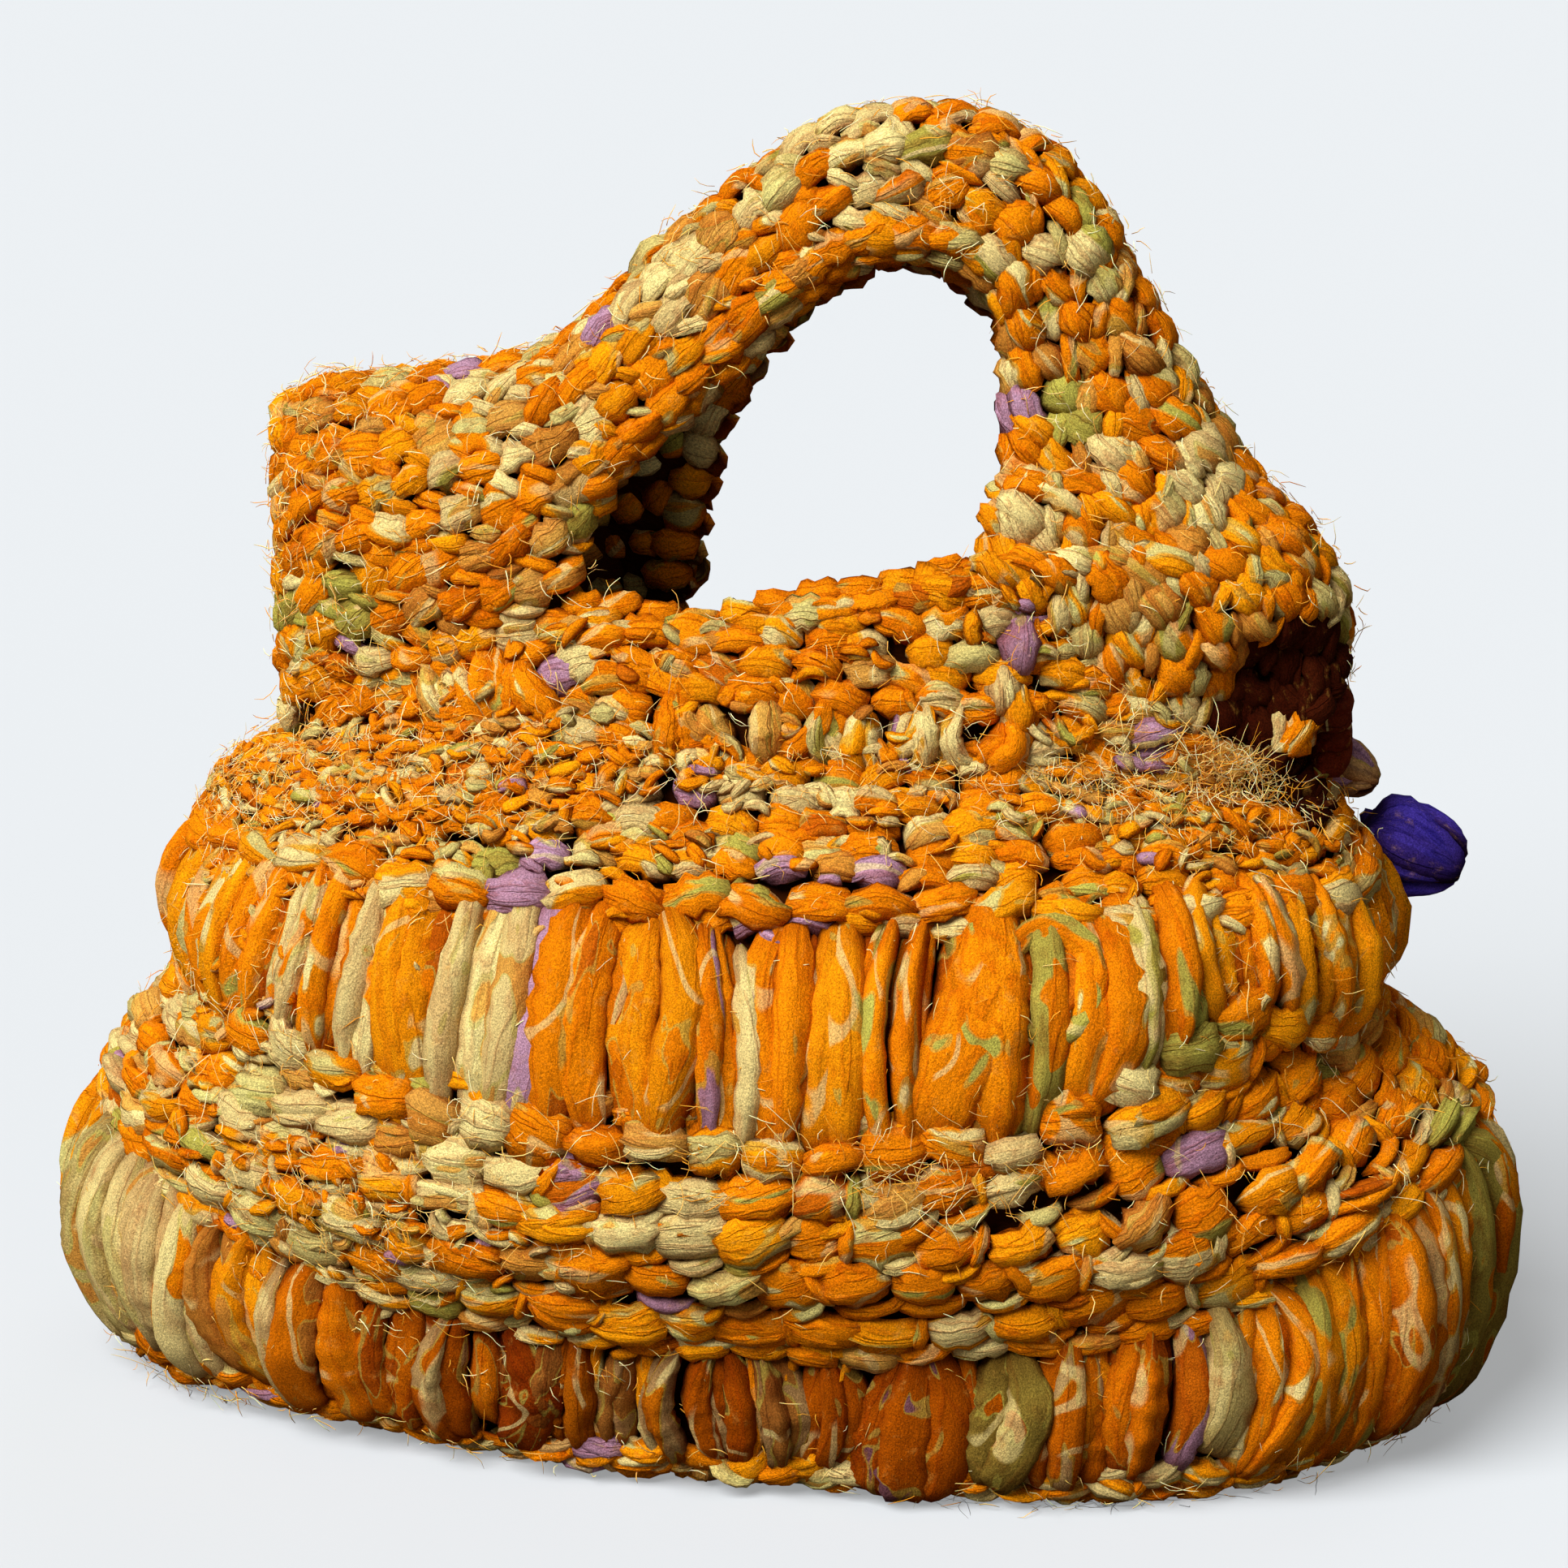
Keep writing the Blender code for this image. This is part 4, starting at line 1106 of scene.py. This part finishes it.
def short_loops(cloth, yoke):
    """Short loops that interrupt the rows of the yoke."""
    for low, high, foot, head in SHORT_LOOPS:
        turn = low + 1.0
        while turn < high:
            u = math.radians(turn)
            metric = yoke.metric(u, foot * MM)
            width = between(7, 16) * MM
            point, _ = yoke.at(u, foot * MM)
            kind = pick_kind(PLAIN_CLOTH, point) if chance(0.75) else STRIPED
            lean = 3.2 * MM * vary(1) / metric
            shift = vary(1.6, 2)
            gathered_loop(cloth, yoke, u + lean, u - lean, (head + shift[0]) * MM,
                          (foot - 2 + shift[1]) * MM, width, kind, 2, 2.2 * MM, lean, lift=1.6 * MM,
                          detail=0.8)
            turn += math.degrees(width * 0.86 / metric)


def make_yoke_stitches(body, material):
    """Rows from the upper loops up to the neck's rim, more of them where the flap is taller."""
    yoke = make_yoke_surface(body, YOKE_START, YOKE_REACH)
    rows = Cloth("yoke_rows")
    for row in range(int(STITCHED_REACH / YOKE_ROW_PITCH)):
        distance = (row + 0.45) * YOKE_ROW_PITCH
        for u in yoke.spaced(distance, YOKE_STITCH, 0.5 * (row % 2)):
            if distance > yoke.end(u) - 4.0 * MM or in_short_loops(u, distance):
                continue
            jitter = vary(1, 6)
            metric = yoke.metric(u, distance)
            place = u + 1.7 * MM * jitter[4] / metric
            height = distance + 0.9 * MM * jitter[0] + 1.6 * MM * waver(u, row)
            bean(rows, yoke, place, height, YOKE_STITCH * (1.12 + 0.10 * jitter[5]),
                 YOKE_ROW_PITCH * (1.30 + 0.14 * jitter[1]), 7.4 * MM * (1 + 0.14 * jitter[2]),
                 PLAIN_CLOTH, tilt=math.radians(13 * jitter[3]), bend=1.6 * MM, lift=1.8 * MM, blunt=0.40)
            if chance(0.45):
                bean(rows, yoke, place + 0.5 * YOKE_STITCH / metric, height + 1.5 * MM, YOKE_STITCH,
                     3.6 * MM, 4.2 * MM, CRESCENT_CLOTH, tilt=math.radians(12 * jitter[1]),
                     bend=3.2 * MM, lift=3.0 * MM)
    for turn, place, length, width, kind in SEAM:
        bean(rows, body, math.radians(turn), place, length * MM, width * MM, 9.0 * MM, kind,
             tilt=math.pi / 2 + vary(0.12), lift=4.2 * MM)
    short_loops(rows, yoke)
    rows.finish(material, "body_knit")

    edge = Cloth("rim_edge")
    for depth, lift, shift in ((0.4 * MM, -2.0 * MM, 0.0), (5.6 * MM, 1.4 * MM, 0.5)):
        for u in body.spaced(RIM - 0.05, 12.0 * MM, shift):
            bean(edge, yoke, u, yoke.end(u) - depth, 14.0 * MM, 7.5 * MM, 7.0 * MM, PLAIN_CLOTH,
                 tilt=math.radians(RANDOM.normal(10, 9)), lift=lift)
    for row in range(5):
        for u in body.spaced(RIM - 0.2 * row, 14.0 * MM, 0.5 * (row % 2)):
            bean(edge, yoke, u, yoke.end(u) - (4 + 8.0 * row) * MM, 16.0 * MM, 8.0 * MM, 5.0 * MM,
                 PLAIN_CLOTH, tilt=vary(0.15), bend=1.0 * MM, lift=WALL - 1.5 * MM, inward=True)
    edge.finish(material, "body_knit")


# Columns of V stitches on the band: a fat leg and a thin one
COLUMN_PITCH = 12.4 * MM
V_PITCH = 11.4 * MM

# The shoulders are sewn down up to the first of these stations and from the second on
SHOULDER_ENDS = (5, 18.5)


def column_places(band, pitch):
    """Each column's number and distance from the fold, a station on it, and what is left to the hem."""
    number = int(STITCHED_REACH / COLUMN_PITCH)
    for index in range(-number, number + 1):
        distance = index * COLUMN_PITCH
        us, run = band.run(distance)
        for u in np.interp(np.arange(0.5 * (index % 2) * pitch, run[-1], pitch), run, us):
            yield index, distance, u, band.end(u, FRONT if index < 0 else BACK) - abs(distance)


# Dark red folds in the open end of the right shoulder: the path of one in mm, and the rise of each
FOLD_RED = (0.16, 0.022, 0.005)
FOLD_PATH = np.array([
    (156, -8, 203),
    (161, 1, 200.5),
    (163, 10.5, 199.5),
    (161, 20, 200.5),
    (156, 29, 203),
])
FOLD_RISES = [0, 6.5, 13]


def end_folds(cloth):
    """The folds that close the open end of the right shoulder."""
    for rise in FOLD_RISES:
        path = blend_rows((FOLD_PATH + [0, 0, rise]) * MM, np.linspace(0, len(FOLD_PATH) - 1, 12))
        cloth.strip(path, np.tile([1.0, 0, 0], (12, 1)), np.full(12, 4.8 * MM), np.full(12, 4.2 * MM),
                    (FOLD_RED, RUST, 0.05), sides=12, pleats=4, pleat=0.12, drift=1.5)


def make_band_columns(band, material):
    """Columns of V stitches along the band, in front and behind."""
    columns, back_columns = Cloth("band_front_columns"), Cloth("band_back_columns")
    for index, distance, u, left in column_places(band, V_PITCH):
        sewn = u < SHOULDER_ENDS[0] or u > SHOULDER_ENDS[1]
        if left < (0.5 if sewn else 5.0) * MM:
            continue
        target = columns if index <= 0 else back_columns
        jitter = vary(1, 9)
        metric = band.metric(u, distance)
        place = u + 0.6 * MM * jitter[0] / metric
        bean(target, band, place, distance + (0.5 * jitter[1] - 1.6) * MM,
             V_PITCH * (1.26 + 0.10 * jitter[2]), 10.6 * MM * (1 + 0.12 * jitter[3]),
             7.6 * MM * (1 + 0.12 * jitter[4]), BAND_CLOTH, tilt=math.radians(10 + 12 * jitter[5]),
             lift=0.9 * MM, slope=0.5 * MM, blunt=0.36)
        bean(target, band, place + 0.35 * V_PITCH / metric, distance + (0.4 * jitter[6] + 4.6) * MM,
             V_PITCH * (1.20 + 0.12 * jitter[7]), 5.6 * MM * (1 + 0.18 * jitter[8]), 6.0 * MM,
             CRESCENT_CLOTH if chance(0.6) else BAND_CLOTH,
             tilt=math.radians(-24 + 12 * jitter[2]), lift=1.3 * MM, slope=0.6 * MM)
    columns.finish(material, "band_knit")
    back_columns.finish(material, "band_knit")


def make_band_hems(band, material):
    """Stitches over the band's hems, seen from both sides, and over its two ends."""
    hems = Cloth("band_hems")
    for side, sign, first in ((FRONT, -1, SHOULDER_ENDS[0]), (BACK, 1, 4.4)):
        stations = np.linspace(0, LAST_STATION, 1200)
        points, _ = band.at(stations, sign * band.end(stations, side))
        run = travelled(points)
        for u in np.interp(np.arange(0.0, run[-1], 11.0 * MM), run, stations):
            if u < first or u > SHOULDER_ENDS[1]:
                continue
            length = band.end(u, side)
            for depth, lift in ((-1.0 * MM, -1.4 * MM), (4.8 * MM, 2.0 * MM)):
                bean(hems, band, u, sign * (length - depth), 13.5 * MM, 8.0 * MM, 7.5 * MM, BAND_CLOTH,
                     tilt=vary(0.2), lift=lift, blunt=0.4)
            if 4.6 < u < 17.8:
                bean(hems, band, u, sign * (length - 4 * MM), 16.0 * MM, 10.0 * MM, 7.0 * MM, HEM_CLOTH,
                     tilt=RANDOM.normal(0.3, 0.3), lift=WALL - 2.0 * MM, blunt=0.4, inward=True,
                     detail=(8, 10))
    for u, turned_to in ((0.12, 1), (LAST_STATION - 0.12, -1)):
        for distance in np.arange(-band.end(u, FRONT), band.end(u, BACK), 10.5 * MM):
            for along, lift in ((0.0, 0.8 * MM), (-5.0 * MM * turned_to, -3.5 * MM)):
                bean(hems, band, u + along / band.metric(u, distance), distance, 13.0 * MM, 8.0 * MM,
                     8.0 * MM, BAND_CLOTH, tilt=math.pi / 2 + vary(0.2), lift=lift, blunt=0.4)
    end_folds(hems)
    hems.finish(material, "band_knit")


def make_band_inside(band, material):
    """Plain stitches on the band's inner side."""
    inside = Cloth("band_inside")
    for index, distance, u, left in column_places(band, 12.5 * MM):
        if 2 < u < 17.5 and left >= 6 * MM and abs(index) > 1:
            bean(inside, band, u, distance, 14.0 * MM, 9.5 * MM, 5.5 * MM, BAND_CLOTH,
                 tilt=vary(0.3), lift=WALL - 2.5 * MM, inward=True)
    inside.finish(material, "band_knit")


def make_base(material):
    """The flat knitted base, seen from below: straight rows of stitches."""
    base = Cloth("base_rows")
    flat = Surface(np.array([-0.3, 0.3]), np.array([-0.2, 0.2]),
                   np.array([[[x, -y, 2.4 * MM] for y in (-0.2, 0.2)] for x in (-0.3, 0.3)]))
    *_, front, back, squareness = BODY_SECTIONS[0]
    for row, y in enumerate(np.arange(-0.074, 0.078, 9.5 * MM)):
        reach_y = (front if y < 0 else back) * BODY_DEPTH / 2
        half = max(0.0, 1 - abs(y / reach_y) ** squareness) ** (1 / squareness) * 0.84 * BODY_WIDTH / 2
        for x in np.arange(-half + 6 * MM * (row % 2), half, 14.0 * MM):
            bean(base, flat, x, -y, 17.0 * MM, 10.5 * MM, 4.6 * MM, PLAIN_CLOTH, tilt=vary(0.1),
                 bend=1.2 * MM)
    base.finish(material, "body_knit")


# name, solid, slot, kind
SIDE_LOOPS = [
    ("violet_loop", "violet_side_loop", "violet_cloth", (VIOLET, VIOLET, -1.0)),
    ("brown_loop", "brown_side_loop", "brown_cloth", (BROWN, MAUVE, 0.35)),
]


def make_side_loops(material):
    """Puffed loops of cloth at the right side, each a bundle of crumpled folds."""
    share = np.linspace(-1, 1, 18)
    arch = np.clip(1 - (share + 0.28 * (1 - share ** 2)) ** 2, 0, 1) ** 0.6
    for name, node, slot, kind in SIDE_LOOPS:
        low, high = (np.array(corner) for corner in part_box(node))
        middle, size = (low + high) / 2, high - low
        thick = size.min()
        cloth = Cloth(name)
        outward = unit(np.array([size[0], 0.10 * size[1], -0.45 * size[2]]))
        side = unit(np.cross(outward, [0, 0, 1.0]))
        up = np.cross(side, outward)
        widths = 0.47 * thick * (0.30 + 0.70 * arch)
        cloth.strip(middle + outward * (share * size[0] * 0.46)[:, None], np.tile(up, (18, 1)), widths,
                    widths * size[2] / size[1], kind, sides=24, pleats=5, pleat=0.09, drift=2.0,
                    crumple=0.03)
        for turn in np.arange(0, 360, 60):
            angle = math.radians(turn + between(-14, 14))
            ray = side * math.cos(angle) + up * math.sin(angle)
            along = share * size[0] * 0.43 * between(0.85, 1.0)
            swirl = 0.34 * thick * share * arch * vary(1)
            path = middle + outward * along[:, None] + ray * (0.30 * thick * arch ** 0.7)[:, None]
            path = path + np.cross(outward, ray) * swirl[:, None]
            widths = thick * 0.23 * (0.25 + 0.75 * arch) * between(0.8, 1.2)
            cloth.strip(path, np.tile(ray, (18, 1)), widths, widths * 0.8, kind, sides=14, pleats=3,
                        pleat=0.14, drift=vary(2), crumple=0.04)
        cloth.finish(material, slot, node)


def thread(cloth, start, normal, length, radius, kind, curl=0.8):
    """One frayed thread that curls away from the cloth."""
    rings = 4 if length < 9 * MM else 6
    direction = vary(1, 3)
    direction = unit(direction - 0.8 * np.dot(direction, normal) * normal + 0.25 * normal)
    turn = vary(curl, 3)
    points = [start]
    for _ in range(rings - 1):
        turn = turn + vary(0.7 * curl, 3)
        direction = direction + 0.6 * turn + np.array([0, 0, -0.08])
        direction = unit(direction - 0.5 * np.dot(direction, normal) * normal)
        points.append(points[-1] + direction * length / (rings - 1))
    normals = np.tile(unit(np.cross(direction, [0.3, 0.5, 0.8])), (rings, 1))
    radii = np.full(rings, radius)
    radii[-1] *= 0.4
    cloth.strip(np.array(points), normals, radii, radii, kind, sides=3, pleats=0, pleat=0.0)


# Where frayed threads gather on the body
# turn, place, turn spread, place spread, threads, longest
FRAYED = [
    (250, 9.6, 22, 0.7, 700, 12),
    (224, 9.3, 16, 0.7, 550, 11),
    (205, 8.8, 14, 0.8, 250, 11),
    (297, 9.8, 14, 0.7, 400, 13),
    (318, 10.0, 12, 0.7, 450, 15),
    (326, 10.75, 5, 0.2, 160, 14),
    (238, 5.0, 11, 0.5, 600, 13),
    (268, 6.0, 13, 0.20, 190, 17),
    (292, 5.9, 9, 0.25, 170, 18),
    (213, 7.2, 10, 0.9, 450, 12),
    (318, 7.6, 12, 0.6, 120, 14),
    (300, 1.2, 10, 0.5, 110, 18),
    (208, 1.2, 10, 0.5, 40, 20),
    (250, 3.6, 14, 0.4, 70, 14),
    (328, 4.9, 14, 0.7, 150, 15),
]
THREAD_KINDS = [
    ((0.86, 0.46, 0.10), CREAM, 0.0),
    ((0.90, 0.36, 0.03), CREAM, 0.0),
    ((0.90, 0.78, 0.42), CREAM, 0.0),
    ((0.88, 0.60, 0.20), CREAM, 0.0),
]
# Where scraps of frayed cloth lie on the body: turn, place, turn spread, place spread, scraps
SCRAPS = [
    (248, 9.5, 20, 0.7, 240),
    (220, 9.2, 17, 0.8, 300),
    (300, 9.9, 14, 0.7, 110),
    (238, 5.0, 12, 0.6, 130),
    (210, 7.0, 8, 0.9, 90),
    (325, 8.9, 12, 0.6, 60),
]
SCRAP_CLOTH = (0.58, 0.10, 0.18, 0.04, 0.10)
LOOSE_THREADS = 1500
BAND_THREADS = 1700


def scattered(turn, place, turn_spread, place_spread, below_rim):
    """A random place about a turn and a place on the body."""
    u = math.radians(turn + vary(turn_spread))
    return u, min(place + vary(place_spread), RIM - below_rim)


def make_scraps(body, material):
    """Small frayed scraps that blur the rows of the yoke and the waist."""
    cloth = Cloth("frayed_scraps")
    for turn, place, turn_spread, place_spread, count in SCRAPS:
        for _ in range(count):
            u, v = scattered(turn, place, turn_spread, place_spread, 0.05)
            bean(cloth, body, u, v, between(6, 12) * MM, between(2.6, 5.2) * MM,
                 between(2.4, 4.0) * MM, SCRAP_CLOTH, tilt=vary(0.5), bend=vary(1.5) * MM,
                 lift=between(4.6, 7.4) * MM, detail=(6, 6))
    cloth.finish(material, "body_knit")


def fray(cloth, surface, u, v, lifts, radii, length=None):
    """A thread at a place of a surface: its lift and radius are drawn from ranges, in mm."""
    point, normal = surface.at(u, v)
    start = point + normal * between(*lifts) * MM
    length = (length or between(3, 9)) * MM
    radius = between(*radii) * MM
    thread(cloth, start, normal, length, radius, pick(THREAD_KINDS))


def make_threads(body, band, material):
    """Frayed threads where they gather, and loose ones all over the front and the band."""
    gathered = Cloth("frayed_body_threads")
    for turn, place, turn_spread, place_spread, count, longest in FRAYED:
        for _ in range(count):
            u, v = scattered(turn, place, turn_spread, place_spread, 0.02)
            length = 4 + (longest - 4) * RANDOM.random() ** 1.5
            fray(gathered, body, u, v, (3.8, 6.4), (0.08, 0.17), length)
    gathered.finish(material, "body_knit")
    loose = Cloth("frayed_loose_threads")
    for _ in range(LOOSE_THREADS):
        u, v = between(math.pi * 0.9, math.pi * 2.1), between(1.2, RIM - 0.1)
        fray(loose, body, u, v, (4, 7), (0.10, 0.2))
    for _ in range(BAND_THREADS):
        u = between(0, LAST_STATION)
        if chance(0.35):
            u = abs(vary(1.6))
        v = between(-1, 0.3) * band.end(u, FRONT)
        if u <= 18 or v >= -5 * MM:
            fray(loose, band, u, v, (3.2, 4.6), (0.10, 0.2))
    loose.finish(material, "band_knit")


# Floor: its colour, its glow for the camera alone, and what it reflects onto the bag
FLOOR_COLOUR = (0.330, 0.347, 0.364)
FLOOR_GLOW = (0.304, 0.312, 0.316)
FLOOR_BOUNCE = (0.09, 0.08, 0.07)
FLOOR_REACH = 60.0


def make_stage():
    """A wide pale floor. It reflects less onto the bag than the camera sees, as in the photo."""
    material, nodes, shader = new_material("pale_paper", 1.0, 0.0)
    nodes.feed(shader, {"Base Color": FLOOR_COLOUR, "Emission Color": FLOOR_GLOW, "Emission Strength": 1.0})
    bounce = nodes.add("BsdfDiffuse", "BSDF", {"Color": FLOOR_BOUNCE})
    nodes.show_camera(shader.outputs["BSDF"], bounce, "Material Output")
    corners = [(x * FLOOR_REACH, y * FLOOR_REACH, 0) for x, y in ((-1, -1), (1, -1), (1, 1), (-1, 1))]
    data = bpy.data.meshes.new("floor")
    data.from_pydata(corners, [], [(0, 1, 2, 3)])
    data.materials.append(material)
    add_object("floor", data)


# The photo's view: azimuth and elevation in degrees, and distance
VIEW_AZIMUTH = 8
VIEW_ELEVATION = 20
VIEW_DISTANCE = 2.0
AIM_HEIGHT = 185.4 * MM
METRES_PER_PIXEL = 0.24 * MM
FRAME_PIXELS = 1932


def face_bag(obj, azimuth, elevation, distance, aim_height):
    """Puts a camera or a light out from the bag, at angles in degrees, and turns it to the bag."""
    azimuth, elevation = math.radians(azimuth), math.radians(elevation)
    out = Vector((
        math.sin(azimuth) * math.cos(elevation),
        -math.cos(azimuth) * math.cos(elevation),
        math.sin(elevation),
    ))
    obj.location = Vector((0, 0, aim_height)) + out * distance
    obj.rotation_euler = (-out).to_track_quat("-Z", "Y").to_euler()


def make_camera():
    data = bpy.data.cameras.new("photo_view")
    data.sensor_width = 36.0
    data.lens = data.sensor_width * VIEW_DISTANCE / METRES_PER_PIXEL / FRAME_PIXELS
    camera = add_object("photo_view", data)
    face_bag(camera, VIEW_AZIMUTH, VIEW_ELEVATION, VIEW_DISTANCE, AIM_HEIGHT)
    bpy.context.scene.camera = camera


# name, azimuth and elevation it comes from in degrees, spread in degrees, strength
LIGHTS = [
    ("key", -38, 50, 42, 5.8),
    ("fill", 42, 24, 40, 0.22),
    ("back", 160, 40, 40, 0.4),
]
WORLD_COLOUR = (1.0, 0.92, 0.80)
WORLD_STRENGTH = 0.11
BACKDROP = (0.847, 0.880, 0.905)


def make_lights():
    for name, azimuth, elevation, spread, strength in LIGHTS:
        data = bpy.data.lights.new(name, "SUN")
        data.angle = math.radians(spread)
        data.energy = strength
        face_bag(add_object(name, data), azimuth, elevation, 3.0, 0.0)
    world = bpy.data.worlds.new("studio")
    nodes = Shading(world)
    glow = nodes.tree.nodes["Background"]
    nodes.feed(glow, {"Color": WORLD_COLOUR, "Strength": WORLD_STRENGTH})
    seen = nodes.add("Background", "Background", {"Color": BACKDROP})
    nodes.show_camera(seen, glow.outputs["Background"], "World Output")
    bpy.context.scene.world = world
    bpy.context.scene.view_settings.view_transform = "Standard"


def main():
    make_camera()
    make_lights()
    make_stage()
    body, band = make_body_surface(), make_band_surface()
    cloth = cloth_material("torn_print_cotton", 165.0, 0.7, RUST)
    sheets = cloth_material("loose_print_cotton", 75.0, 0.55, RUST)
    plain = cloth_material("plain_side_cotton", 120.0, 0.8, (0.10, 0.07, 0.46))
    add_spots(body, BODY_SPOTS, (math.radians(1), 1))
    add_spots(band, BAND_SPOTS, (1, MM))
    make_cores(body, band)
    make_body_stitches(body, cloth, sheets)
    make_yoke_stitches(body, cloth)
    make_band_columns(band, cloth)
    make_band_hems(band, cloth)
    make_band_inside(band, cloth)
    make_base(cloth)
    make_scraps(body, cloth)
    make_side_loops(plain)
    make_threads(body, band, thread_material("frayed_thread"))


main()
